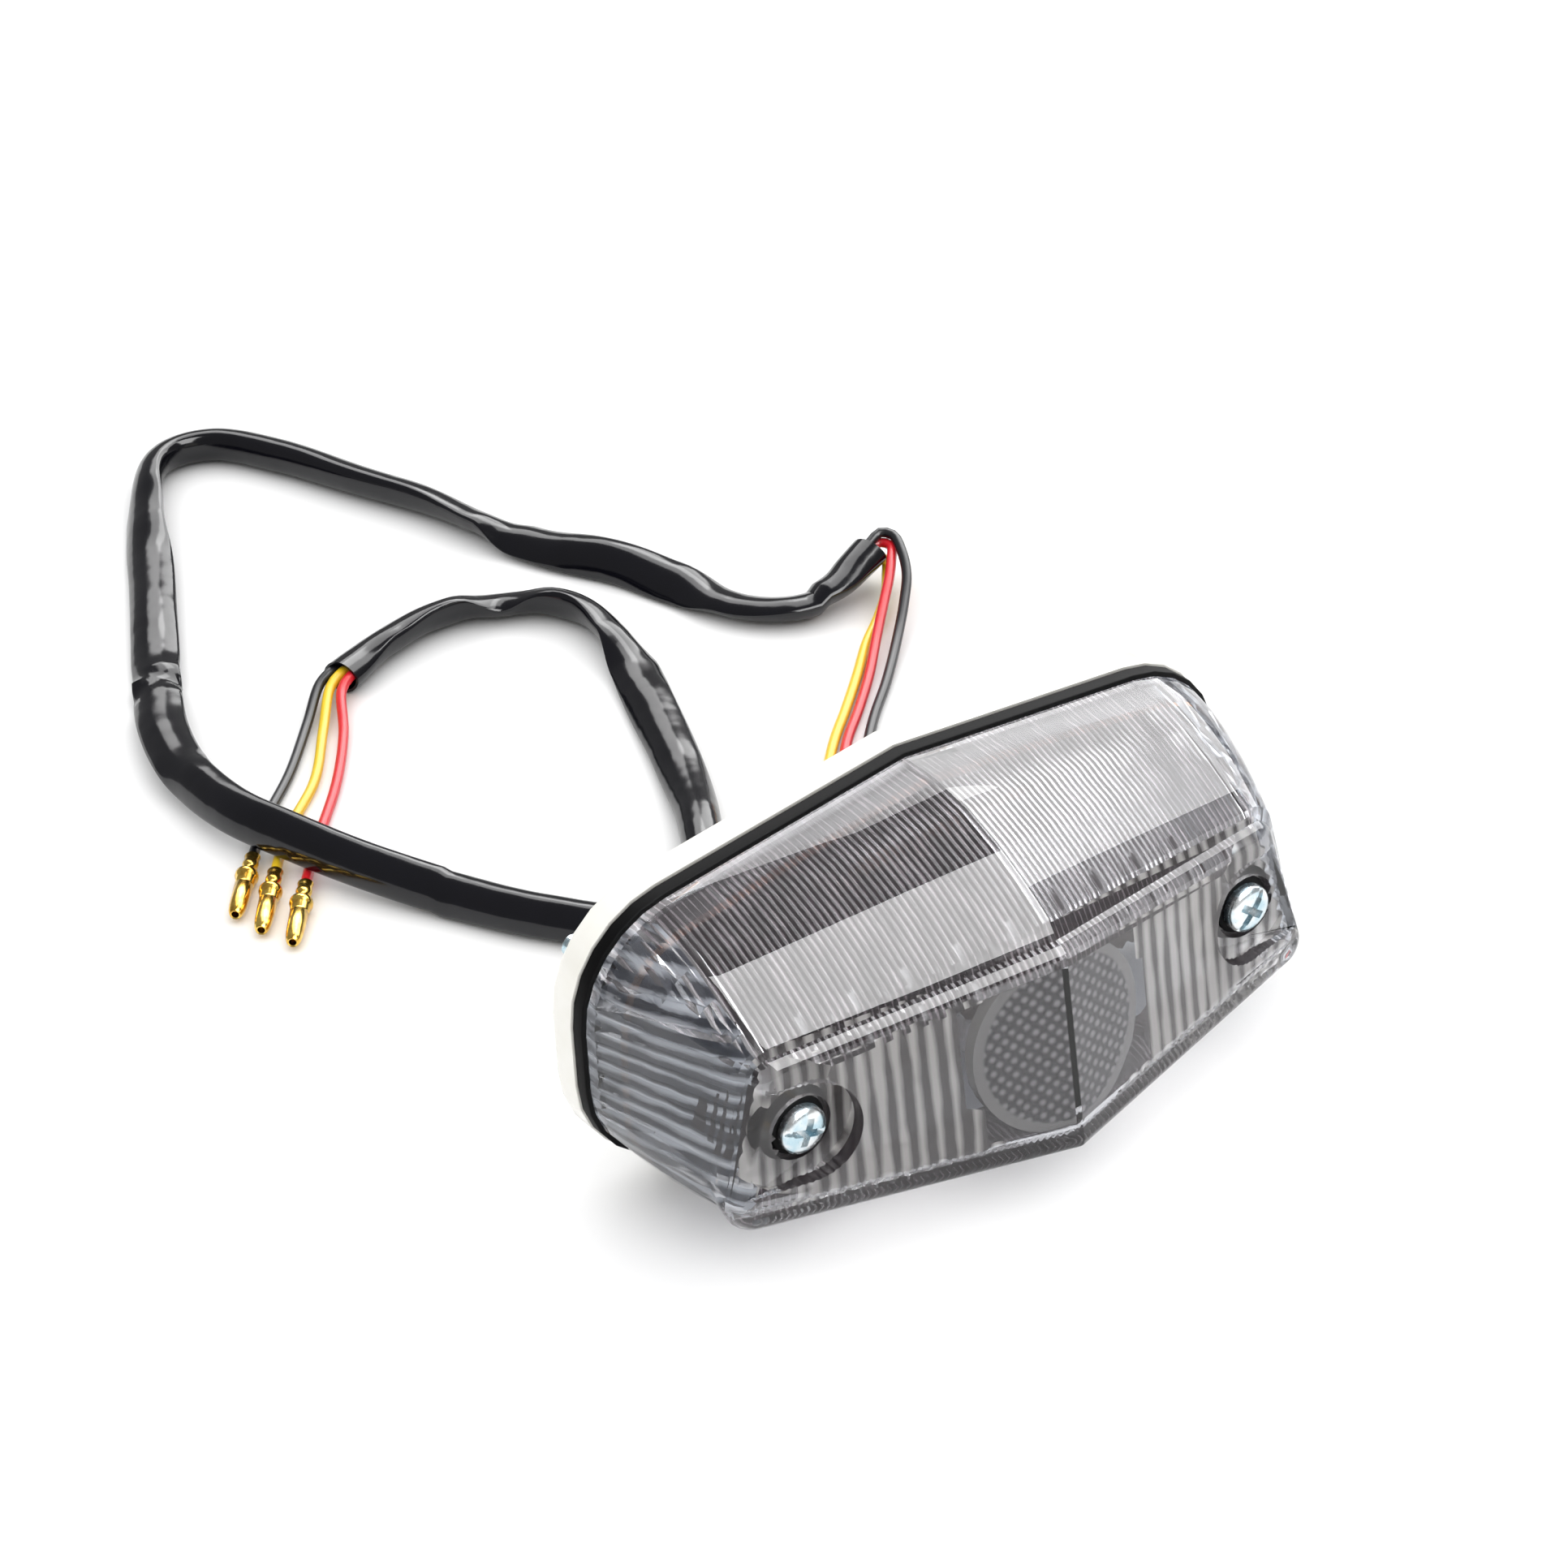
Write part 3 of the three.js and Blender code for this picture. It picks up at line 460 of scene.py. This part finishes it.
def sleeveRing(place, along, flat, crease, lean, shrink):
    side = along.cross(Vector((0, 0, 1))).normalized()
    up = side.cross(along).normalized()
    turn = Quaternion(along, math.radians(lean))
    side, up = turn @ side, turn @ up
    wide = sleeve["diameter"] / 2 * (1 + sleeve["spread"] * flat) - shrink
    thin = sleeve["diameter"] / 2 * (1 - sleeve["press"] * flat) - shrink
    reach = math.hypot((wide + shrink) * math.sin(math.radians(lean)),
                       (thin + shrink) * math.cos(math.radians(lean)))
    if place.z < sleeve["floorReach"]:  # what lies on the floor sinks as it flattens
        place = place - Vector((0, 0, max(0, place.z - reach - sleeve["floorGap"])))
    ring = []
    for i in range(sleeve["sides"]):
        a = 2 * math.pi * i / sleeve["sides"]
        c, s = math.cos(a), math.sin(a)
        sharp = s * (1 - crease * sleeve["fold"] * abs(c) ** 3)
        ring.append(place + side * (wide * c) + up * (thin * sharp))
    return ring


def makeSleeve():
    line = pathThrough(inFrame(sleeveRoute), sleeve["step"])
    total = pathLength(line)
    rings, done = [], 0
    for i, place in enumerate(line):
        along = (line[min(i + 1, len(line) - 1)] - line[max(i - 1, 0)]).normalized()
        if i:
            done += (place - line[i - 1]).length
        flat, crease, lean = between(sleeve["shape"], done / total)
        rings.append((place, along, flat, crease, lean))
    hollow = max(2, round(sleeve["mouthDepth"] / sleeve["step"]))
    order = [(*rings[i], sleeve["wall"]) for i in range(hollow, -1, -1)]
    order += [(*ring, 0) for ring in rings]
    order += [(*rings[-1 - i], sleeve["wall"]) for i in range(hollow + 1)]
    mesh = bmesh.new()
    rows = [[mesh.verts.new(p) for p in sleeveRing(*ring)] for ring in order]
    count = sleeve["sides"]
    for a, b in zip(rows, rows[1:]):
        for i in range(count):
            mesh.faces.new((a[i], a[(i + 1) % count], b[(i + 1) % count], b[i]))
    mesh.faces.new(rows[0][::-1])
    mesh.faces.new(rows[-1])
    bmesh.ops.recalc_face_normals(mesh, faces=mesh.faces)
    data = bpy.data.meshes.new("vinyl_sleeve")
    mesh.to_mesh(data)
    piece = bpy.data.objects.new("vinyl_sleeve", data)
    bpy.context.scene.collection.objects.link(piece)
    smooth(piece, 38)
    # thin black vinyl: near black, glossy, crumpled enough to break up its long highlights
    material, shader = newMaterial("glossyVinylExtruded", Roughness=0.14, Specular_IOR_Level=0.42)
    crumple = mottle(material, shader, 95, "#040409", "#0b0b12", 2)
    crumple.inputs["Roughness"].default_value = 0.45
    low = bumpFrom(material, shader, crumple.outputs["Fac"], 0.3, 1.2 * mm)
    bumpFrom(material, shader, noise(material, 2200, 2).outputs["Fac"], 0.06, 0.05 * mm, low)
    finishPiece(piece, "housing", material, ["harness_sleeve"])


makeSleeve()
print("harness laid")


lens = {
    "topPitch": 1.05 * mm,
    "topHeight": 0.2 * mm,
    "frontPitch": 2.8 * mm,
    "frontHeight": 0.3 * mm,
    "endPitch": 2.7 * mm,
    "endHeight": 0.75 * mm,
    # depths are from the lens plane, heights from the light's middle, widths from its centre line
    "seatDepth": 0.5 * mm,
    "ribsDepth": 1 * mm,
    "insideDepth": 12 * mm,
    "wallDepth": 20 * mm,
    "floorDepth": 21 * mm,
    "topAbove": 3 * mm,
    "floorBelow": 10 * mm,
    "bottomBelow": 12 * mm,
    "fluteBelow": 17 * mm,
    "frontHalf": 40 * mm,
    "fluteHalf": 44 * mm,
    "endFrom": 46 * mm,
    "reflectorBelow": 3 * mm,
    "reflectorClear": 17.2 * mm,
    "cellSize": 1.4 * mm,
    "cellsHalf": (18 * mm, 24 * mm),
    "padClear": 31 * mm,
    "padAbove": 6 * mm,
    "padBelow": 13 * mm,
    "bossReach": 9.6 * mm,
    "shadow": False,  # a thin smoked wall lets most of the light in and through
}


def cutRibs(mesh, wanted, axis, pitch, height, allowed):  # every second cut is lifted into a crest
    mesh.normal_update()
    faces = [f for f in mesh.faces if wanted(f.calc_center_median(), f.normal)]
    low = min(v.co[axis] for f in faces for v in f.verts)
    high = max(v.co[axis] for f in faces for v in f.verts)
    half = pitch / 2
    levels = [k * half for k in range(math.ceil(low / half), math.floor(high / half) + 1)]
    sliceFaces(mesh, wanted, axis, levels)
    mesh.normal_update()
    peaks = {}
    for vert in mesh.verts:
        k = vert.co[axis] / half
        near = [f for f in vert.link_faces if wanted(f.calc_center_median(), f.normal)]
        if near and round(k) % 2 and abs(k - round(k)) < 0.01 and allowed(vert.co):
            normal = sum((f.normal for f in near), Vector()).normalized()
            peaks[vert] = vert.co + normal * height
    for vert, place in peaks.items():
        vert.co = place


def ribbedAcrylic(name, axis, pitch, dark, light, width, stretch, clarity, roughness):
    # smoked acrylic over ribs: painted shade in the valleys and painted highlights on the crests, wandering
    # a little as moulded ribs do
    material, shader = newMaterial(name, Roughness=roughness, IOR=1.49, Transmission_Weight=clarity)
    where = addNode(material, "ShaderNodeTexCoord")
    parts = addNode(material, "ShaderNodeSeparateXYZ", None, {"Vector": where.outputs["Object"]})
    count = addNode(material, "ShaderNodeMath", {"operation": "MULTIPLY", 1: 1 / pitch},
                    {0: parts.outputs[axis]})
    wave = addNode(material, "ShaderNodeMath", {"operation": "PINGPONG", 1: 0.5}, {0: count.outputs[0]})
    sized = addNode(material, "ShaderNodeMapping", {"Scale": stretch}, {"Vector": where.outputs["Object"]})
    cloud = addNode(material, "ShaderNodeTexNoise", {"Scale": 1, "Detail": 3},
                    {"Vector": sized.outputs["Vector"]})
    shift = addNode(material, "ShaderNodeMapRange",
                    {"From Min": 0.3, "From Max": 0.7, "To Min": -0.16, "To Max": 0.16},
                    {"Value": cloud.outputs["Fac"]})
    level = addNode(material, "ShaderNodeMath", {"operation": "ADD"},
                    {0: wave.outputs[0], 1: shift.outputs["Result"]})
    colourFrom(material, shader, level.outputs[0], ((0.5 - width, dark), (0.5 - width * 0.3, light)))
    return material


def lensMaterials():
    # the plain outer skin: clear and glossy, faintly grey
    skin, shader = newMaterial("smokedAcrylicMoulded", Roughness=0.01, IOR=1.49, Transmission_Weight=1.0)
    mottle(skin, shader, 60, "#cbccd0", "#d3d4d8")
    # the ribbed inner faces: their dark and pale colours are painted shade and painted highlights
    fine = ribbedAcrylic("fineRibbedAcrylic", "X", lens["topPitch"], "#1d1014", "#857a7f", 0.15,
                         (400, 130, 130), 0.6, 0.27)
    fluted = ribbedAcrylic("flutedAcrylic", "X", lens["frontPitch"], "#565251", "#cbc8c3", 0.4,
                           (150, 60, 60), 0.52, 0.16)
    ladder = ribbedAcrylic("ladderRibbedAcrylic", "Z", lens["endPitch"], "#41444c", "#b9bec4", 0.3,
                           (60, 60, 300), 0.52, 0.16)
    # the screw bosses' walls, seen along their length: almost black, painted shade for the dark rings around
    # the screws
    wall, shader = newMaterial("smokedAcrylicPaintedShade", Roughness=0.2, IOR=1.49, Transmission_Weight=0.3)
    mottle(wall, shader, 240, "#1f1c1e", "#3a3538", 2)
    return {"skin": skin, "fine": fine, "fluted": fluted, "ladder": ladder, "wall": wall}


def makeLens():
    piece = copyOfNode("smoked_lens", "ribbed_lens")
    mesh = bmesh.new()
    mesh.from_mesh(piece.data)
    middle, plane = lensPlane.z, lensPlane.y
    front = plane - lens["wallDepth"]
    reflectorZ = middle - lens["reflectorBelow"]
    cellsX, cellsZ = lens["cellsHalf"]
    screws = [centreOf("lens_screw_left"), centreOf("lens_screw_right")]

    def ribsEverywhere(p):
        return True

    def clearOfGasket(p):
        return p.y < plane - lens["ribsDepth"]

    def clearOfReflector(p):
        return math.hypot(p.x, p.z - reflectorZ) > lens["reflectorClear"]

    def clearOfPad(p):
        beside = abs(p.x) < lens["padClear"]
        return beside or p.z > middle + lens["padAbove"] or p.z < middle - lens["padBelow"]

    def fluteAllowed(p):
        return clearOfReflector(p) and clearOfPad(p)

    def onBoss(c, n):
        return abs(n.y) < 0.3 and any(math.hypot(c.x - s.x, c.z - s.z) < lens["bossReach"] for s in screws)

    def onTop(c, n):
        return n.z < -0.55 and c.z > middle + lens["topAbove"] and c.y < plane - 0.2 * mm

    def onFloor(c, n):
        return n.z > 0.55 and c.z < middle - lens["floorBelow"] and c.y < plane - lens["floorDepth"]

    def onFront(c, n):
        return n.y > 0.7 and c.y < front and abs(c.x) < lens["frontHalf"]

    def nearReflector(c, n):
        return onFront(c, n) and abs(c.x) < cellsX and abs(c.z - reflectorZ) < cellsZ

    def onEnd(c, n):
        return abs(n.x) > 0.6 and n.x * c.x < 0 and abs(c.x) > lens["endFrom"] and c.y < plane

    def finishAt(c, n):
        inward = Vector((0, plane - lens["insideDepth"], middle)) - c
        # the boss walls take the painted shade material
        if onBoss(c, n):
            return "wall"
        if n.dot(inward) <= 0 or c.y >= plane - lens["seatDepth"]:
            return "skin"
        if abs(c.x) > lens["endFrom"] and abs(n.x) > 0.3:
            return "ladder"
        if n.z < -0.3 and c.z > middle:
            return "fine"
        if n.y > 0.5 and c.y < front:
            if not clearOfReflector(c):
                return "skin"
            if abs(c.x) < lens["fluteHalf"] and c.z > middle - lens["fluteBelow"]:
                return "fluted"
        return "fine" if c.z < middle - lens["bottomBelow"] else "fluted"

    cutRibs(mesh, onTop, 0, lens["topPitch"], lens["topHeight"], clearOfGasket)
    cutRibs(mesh, onFloor, 0, lens["topPitch"], lens["topHeight"], ribsEverywhere)
    for axis in (0, 2):  # small cells, so that the plain disc in front of the reflector has a round edge
        cutRibs(mesh, nearReflector, axis, lens["cellSize"], 0, ribsEverywhere)
    cutRibs(mesh, onFront, 0, lens["frontPitch"], lens["frontHeight"], fluteAllowed)
    for side in (-1, 1):
        cutRibs(mesh, lambda c, n: onEnd(c, n) and c.x * side > 0, 2, lens["endPitch"],
                lens["endHeight"], ribsEverywhere)
    mesh.normal_update()
    finishes = [finishAt(face.calc_center_median(), face.normal) for face in mesh.faces]
    mesh.to_mesh(piece.data)
    smooth(piece, 32)
    keepCreaseSharp(piece)
    materials = lensMaterials()
    finishPiece(piece, "lens", materials["skin"], ["smoked_lens"])
    order = list(materials)
    for name in order[1:]:
        piece.data.materials.append(materials[name])
    piece.data.polygons.foreach_set("material_index", [order.index(name) for name in finishes])
    piece.visible_shadow = lens["shadow"]


def makeWindow():
    piece = copyOfNode("plate_window", "clear_plate_window")
    smooth(piece, 24)
    # clear and glossy, lighter than the lens around it
    material, shader = newMaterial("clearAcrylicMoulded", Roughness=0.02, IOR=1.49, Transmission_Weight=1.0)
    mottle(material, shader, 60, "#dbdee2", "#e3e6ea")
    finishPiece(piece, "lens", material, ["plate_window"])


reflector = {
    "pitch": 1.7 * mm,
    "row": 0.866,
    "prism": 0.6 * mm,
    "highlightDots": 1.7 * mm,
    "rimFrom": 0.87,
    "rimTo": 0.9,
}


def reflectorMaterial():  # grey moulded acrylic: rows of pale dots painted on dark as the prisms' highlights, inside a plain paler rim
    material, shader = newMaterial("prismaticAcrylicReflector", Roughness=0.12, IOR=1.49,
                                   Transmission_Weight=0.25)
    where = addNode(material, "ShaderNodeTexCoord")
    turned = addNode(material, "ShaderNodeMapping", {"Rotation": (0, math.radians(45), 0)},
                     {"Vector": where.outputs["Object"]})
    parts = addNode(material, "ShaderNodeSeparateXYZ", None, {"Vector": turned.outputs["Vector"]})
    flat = addNode(material, "ShaderNodeCombineXYZ", None,
                   {"X": parts.outputs["X"], "Y": parts.outputs["Z"]})
    # the pale dots are painted highlights, as the prisms show them
    cells = addNode(material, "ShaderNodeTexVoronoi", {"Scale": 1 / reflector["highlightDots"], "Randomness": 0.12},
                    {"Vector": flat.outputs["Vector"]})
    highlightDots = colourFrom(material, shader, cells.outputs["Distance"], ((0.16, "#8d8988"), (0.42, "#2f2a2b")))
    low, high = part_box("round_reflector")
    centred = addNode(material, "ShaderNodeMapping", {"Location": (0, 0, -(low.z + high.z) / 2)},
                      {"Vector": where.outputs["Object"]})
    spread = addNode(material, "ShaderNodeVectorMath", {"operation": "MULTIPLY", 1: (1, 0, 1)},
                     {0: centred.outputs["Vector"]})
    far = addNode(material, "ShaderNodeVectorMath", {"operation": "LENGTH"}, {0: spread.outputs["Vector"]})
    radius = (high.x - low.x) / 2
    rim = addNode(material, "ShaderNodeMapRange",
                  {"From Min": radius * reflector["rimFrom"], "From Max": radius * reflector["rimTo"]},
                  {"Value": far.outputs["Value"]})
    both = addNode(material, "ShaderNodeMix", {"data_type": "RGBA", 7: linear("#7d7a76")},
                   {0: rim.outputs["Result"], 6: highlightDots.outputs["Color"]})  # 6 and 7 are its two colours
    material.node_tree.links.new(both.outputs[2], shader.inputs["Base Color"])
    return material


def makeReflector():
    piece = copyOfNode("round_reflector", "prismatic_reflector")
    mesh = bmesh.new()
    mesh.from_mesh(piece.data)
    stepX, stepZ = reflector["pitch"] / 2, reflector["pitch"] * reflector["row"]

    def onBack(c, n):
        return n.y > 0.5

    for axis, step in ((0, stepX), (2, stepZ)):
        low = min(v.co[axis] for v in mesh.verts)
        high = max(v.co[axis] for v in mesh.verts)
        sliceFaces(mesh, onBack, axis,
                   [k * step for k in range(math.ceil(low / step), math.floor(high / step) + 1)])
    mesh.normal_update()
    for vert in mesh.verts:
        i, k = vert.co.x / stepX, vert.co.z / stepZ
        atCorner = abs(i - round(i)) < 0.01 and abs(k - round(k)) < 0.01
        inside = all(onBack(None, f.normal) for f in vert.link_faces)
        if inside and atCorner and (round(i) + round(k)) % 2 == 0:
            vert.co.y += reflector["prism"]
    bmesh.ops.triangulate(mesh, faces=[f for f in mesh.faces if f.normal.y > 0.2])
    mesh.to_mesh(piece.data)
    smooth(piece, 20)
    finishPiece(piece, "lens", reflectorMaterial(), ["round_reflector"])


makeLens()
makeWindow()
makeReflector()
print("lens moulded")


def makeBase():
    piece = copyOfNode("base_housing", "moulded_base")
    applyModifier(piece, "BEVEL", width=0.3 * mm, segments=2, limit_method="ANGLE",
                  angle_limit=math.radians(50), harden_normals=False, use_clamp_overlap=True)
    smooth(piece, 30)
    keepCreaseSharp(piece)
    # off-white glossy plastic, barely mottled
    material, shader = newMaterial("ivoryAbsMoulded", Roughness=0.22, Coat_Weight=0.3, Coat_Roughness=0.06)
    grain = mottle(material, shader, 260, "#eceae1", "#f6f5f0", 2)
    bumpFrom(material, shader, grain.outputs["Fac"], 0.06, 0.1 * mm)
    finishPiece(piece, "housing", material, ["base_housing"])


def rubberMaterial():  # matt black, with a fine grain that kills any sharp highlight
    material, shader = newMaterial("blackRubberMoulded", Base_Color=linear("#020203"), Roughness=0.6,
                                   Specular_IOR_Level=0.12)
    bumpFrom(material, shader, noise(material, 3500, 2).outputs["Fac"], 0.25, 0.04 * mm)
    return material


def makeGasket(rubber):
    piece = copyOfNode("lens_gasket", "rubber_gasket")
    applyModifier(piece, "BEVEL", width=0.45 * mm, segments=3, limit_method="ANGLE",
                  angle_limit=math.radians(50))
    smooth(piece, 40)
    finishPiece(piece, "housing", rubber, ["lens_gasket"])


rubber = rubberMaterial()
makeBase()
makeGasket(rubber)
print("base and gasket moulded")


screw = {
    "headRadius": 3.9 * mm,
    "headHeight": 2.4 * mm,
    "dome": 1.1 * mm,
    # share of the head's radius, and how far down the dome that is
    "headCurve": [(0.3, 0.02), (0.55, 0.1), (0.75, 0.24), (0.88, 0.44), (0.965, 0.72)],
    "radius": 2 * mm,
    "root": 1.66 * mm,
    "pitch": 0.7 * mm,
    "threadLength": 36 * mm,
    "tipTaper": 0.3 * mm,
    "tipLength": 0.9 * mm,
    "ringsPerTurn": 8,
    "steps": 40,
    "slot": 0.9 * mm,
    "slotDepth": 0.75 * mm,
    "cross": 1.25 * mm,
    "crossLength": 4.6 * mm,
    "crossDepth": 1.7 * mm,
    "turn": {"left": 0.35, "right": -0.9},  # how each head's recess happens to stand, in radians
}


def makeZinc():  # bright bluish metal with paler patches and uneven gloss
    material, shader = newMaterial("zincPlatedSteel", Metallic=1.0)
    grain = noise(material, 1800, 4)
    tint = noise(material, 420, 2)
    colourFrom(material, shader, tint.outputs["Fac"], ((0.35, "#b9d2dc"), (0.6, "#e9eced")))
    rough = addNode(material, "ShaderNodeMapRange", {"To Min": 0.16, "To Max": 0.34},
                    {"Value": grain.outputs["Fac"]})
    material.node_tree.links.new(rough.outputs["Result"], shader.inputs["Roughness"])
    return material


def threadRadius(along, around, start, length):
    wave = abs(((along / screw["pitch"] - around) % 1) * 2 - 1)
    radius = screw["radius"] - (screw["radius"] - screw["root"]) * wave
    radius = screw["radius"] + (radius - screw["radius"]) * min(1, (along - start) / screw["pitch"])
    return radius - screw["tipTaper"] * max(0, 1 - (length - along) / screw["tipLength"])


def cutRecess(piece, centre, angle):
    r = screw["headRadius"]
    spans = [
        (2.2 * r, screw["slot"], screw["slotDepth"]),
        (screw["crossLength"], screw["cross"], screw["crossDepth"]),
        (screw["cross"], screw["crossLength"], screw["crossDepth"]),
    ]
    for width, height, depth in spans:
        bpy.ops.mesh.primitive_cube_add(size=1, location=(0, 0, 0))
        cutter = bpy.context.object
        cutter.scale = (width, 2 * depth, height)
        cutter.rotation_mode = "XYZ"
        cutter.rotation_euler = (0, angle, 0)
        cutter.location = centre
        bpy.context.view_layer.update()
        placeInMesh(cutter)
        applyModifier(piece, "BOOLEAN", object=cutter, operation="DIFFERENCE", solver="EXACT")
        bpy.data.objects.remove(cutter)


def makeScrew(word, zinc):
    low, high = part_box(f"lens_screw_{word}")
    centre = Vector(((low.x + high.x) / 2, low.y, (low.z + high.z) / 2))
    length = high.y - low.y
    r, h, dome = screw["headRadius"], screw["headHeight"], screw["dome"]
    profile = [(0, 0)] + [(r * part, rise * dome) for part, rise in screw["headCurve"]]
    profile += [(r, dome), (r, h - 0.2 * mm), (r - 0.15 * mm, h), (screw["radius"], h)]
    start = length - screw["threadLength"]
    count = round(screw["threadLength"] / screw["pitch"] * screw["ringsPerTurn"])
    profile += [(screw["radius"], start + screw["threadLength"] * i / count) for i in range(count)]
    profile += [(screw["root"] - 0.25 * mm, length), (0, length)]
    piece = turnProfile(f"pan_screw_{word}", profile, centre, Vector((0, 1, 0)), screw["steps"])
    for vert in piece.data.vertices:
        offset = vert.co - centre
        along = offset.y
        if start + 0.01 * mm < along < length - 0.01 * mm:
            around = math.atan2(offset.z, offset.x) / (2 * math.pi)
            radius = threadRadius(along, around, start, length)
            vert.co = centre + Vector((offset.x, 0, offset.z)).normalized() * radius + Vector((0, along, 0))
    cutRecess(piece, centre, screw["turn"][word])
    smooth(piece, 35)
    finishPiece(piece, f"screw_{word}", zinc, [f"lens_screw_{word}"])


def makeRing(node, name, body, material, edge):
    low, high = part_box(node)
    centre = Vector(((low.x + high.x) / 2, low.y, (low.z + high.z) / 2))
    outer, depth = (high.x - low.x) / 2, high.y - low.y
    inner = screw["radius"] + 0.3 * mm
    profile = [(inner, edge), (inner + edge, 0), (outer - edge, 0), (outer, edge), (outer, depth - edge),
               (outer - edge, depth), (inner + edge, depth), (inner, depth - edge)]
    piece = turnProfile(name, profile, centre, Vector((0, 1, 0)), 48, closed=True)
    smooth(piece, 50)
    finishPiece(piece, body, material, [node])


zinc = makeZinc()
turnedBrass = brassMaterial("turnedBrass", "#dcb765", "#b58d3f", 0.3)
for word in ("left", "right"):
    makeScrew(word, zinc)
    makeRing(f"sealing_washer_{word}", f"rubber_washer_{word}", "lens", rubber, 0.12 * mm)
    makeRing(f"threaded_bush_{word}", f"brass_bush_{word}", "housing", turnedBrass, 0.2 * mm)
print("screws turned")


def boardMaterials():
    # dark brown board face, fibrous
    resin, shader = newMaterial("phenolicPaperLaminate", Roughness=0.45)
    mottle(resin, shader, 700, "#2b1d1a", "#4a3029", 5)
    # its cut edge: tan and dull
    edge, shader = newMaterial("sawnLaminateEdge", Roughness=0.7)
    mottle(edge, shader, 1500, "#c07f42", "#f0b679")
    # LED bodies: water clear and glossy
    clear, shader = newMaterial("waterClearEpoxy", Roughness=0.05, IOR=1.5, Transmission_Weight=0.85)
    mottle(clear, shader, 400, "#e2e3e6", "#eeeff2")
    # diode and regulator: satin black
    dark, shader = newMaterial("mouldedEpoxyBlack", Roughness=0.5)
    mottle(dark, shader, 1500, "#121214", "#1e1e22")
    # resistors: glossy beige
    band, shader = newMaterial("lacqueredResistor", Roughness=0.3)
    mottle(band, shader, 600, "#bda576", "#d4bd90")
    return resin, edge, clear, dark, band


diode = {"flange": 1.0 * mm, "rim": 0.4 * mm, "sides": 28, "domeAngles": (0.26, 0.52, 0.79, 1.05, 1.31)}


def makeDiode(name, clear):
    low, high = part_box(name)
    foot = Vector(((low.x + high.x) / 2, high.y, (low.z + high.z) / 2))
    flange, height = (high.x - low.x) / 2, high.y - low.y
    r = flange - diode["rim"]
    profile = [(0, 0), (flange, 0), (flange, diode["flange"]), (r, diode["flange"] + 0.05 * mm)]
    profile.append((r, height - r))
    profile += [(r * math.cos(a), height - r + r * math.sin(a)) for a in diode["domeAngles"]]
    profile.append((0, height))
    piece = turnProfile(name.replace("_led_", "_diode_"), profile, foot, Vector((0, -1, 0)), diode["sides"])
    smooth(piece, 40)
    finishPiece(piece, "housing", clear, [name])


def makeBoard():
    resin, edge, clear, dark, band = boardMaterials()
    board = copyOfNode("led_board", "led_circuit_board")
    sides = [1 if abs(face.normal.y) < 0.3 else 0 for face in board.data.polygons]
    smooth(board, 30)
    finishPiece(board, "housing", resin, ["led_board"])
    board.data.materials.append(edge)
    board.data.polygons.foreach_set("material_index", sides)
    for name in nodes:
        if name.startswith("resistor"):
            paint(nodes[name], band)
        if name.startswith("board_screw"):
            paint(nodes[name], zinc)
    paint(nodes["supply_diode"], dark)
    paint(nodes["voltage_regulator"], dark)
    for name in sorted(name for name in nodes if "_led_" in name and name != "led_board"):
        makeDiode(name, clear)


makeBoard()
paint(nodes["wire_grommet"], rubber)
print("board fitted")


studio = {"floor": 3.0, "world": 0.3}
# name, three corners in order, radiance, and whether it lights surfaces or only shows in reflections
cards = [
    ("band_card", ((-0.12, -1.2, 0.55), (0.6, -1.2, 0.55), (0.6, -0.08, 0.85)), 9.5, False),
    ("rear_card", ((0.22, 0.36, 0.85), (0.9, 0.36, 0.85), (0.9, 1.7, 0.85)), 4.2, False),
    ("wide_card", ((0.64, -0.15, 1.05), (1.9, -0.15, 0.4), (1.9, 1.3, 0.4)), 5.5, False),
    ("overhead_card", ((-2.6, -2.4, 1.9), (2.6, -2.4, 1.9), (2.6, 2.6, 1.9)), 1.5, True),
]


def makeCard(name, corners, radiance, lightsFloor):
    a, b, c = (Vector(p) for p in corners)
    data = bpy.data.lights.new(name, "AREA")
    data.shape = "RECTANGLE"
    data.size, data.size_y = (b - a).length, (c - b).length
    data.energy = radiance * math.pi * data.size * data.size_y
    lamp = bpy.data.objects.new(name, data)
    bpy.context.scene.collection.objects.link(lamp)
    across, up = (b - a).normalized(), (c - b).normalized()
    facing = Matrix((across, up, across.cross(up))).transposed()
    lamp.matrix_world = Matrix.Translation((a + c) / 2) @ facing.to_4x4()
    lamp.visible_diffuse = lightsFloor
    lamp.visible_glossy = not lightsFloor


def makeStudio():
    bpy.ops.mesh.primitive_plane_add(size=studio["floor"], location=(0, 0, 0))
    floor = bpy.context.object
    floor.name = "floor"
    # white paper without any shine
    material, shader = newMaterial("matPaperFloor", Base_Color=linear("#f4f4f4"), Roughness=0.9)
    paint(floor, material)
    world = bpy.data.worlds.new("studio")
    bpy.context.scene.world = world
    world.use_nodes = True
    background = world.node_tree.nodes["Background"]
    background.inputs["Color"].default_value = linear("#ffffff")
    background.inputs["Strength"].default_value = studio["world"]
    for card in cards:
        makeCard(*card)


makeStudio()
bpy.context.scene.view_settings.view_transform = "Standard"
print("studio lit")
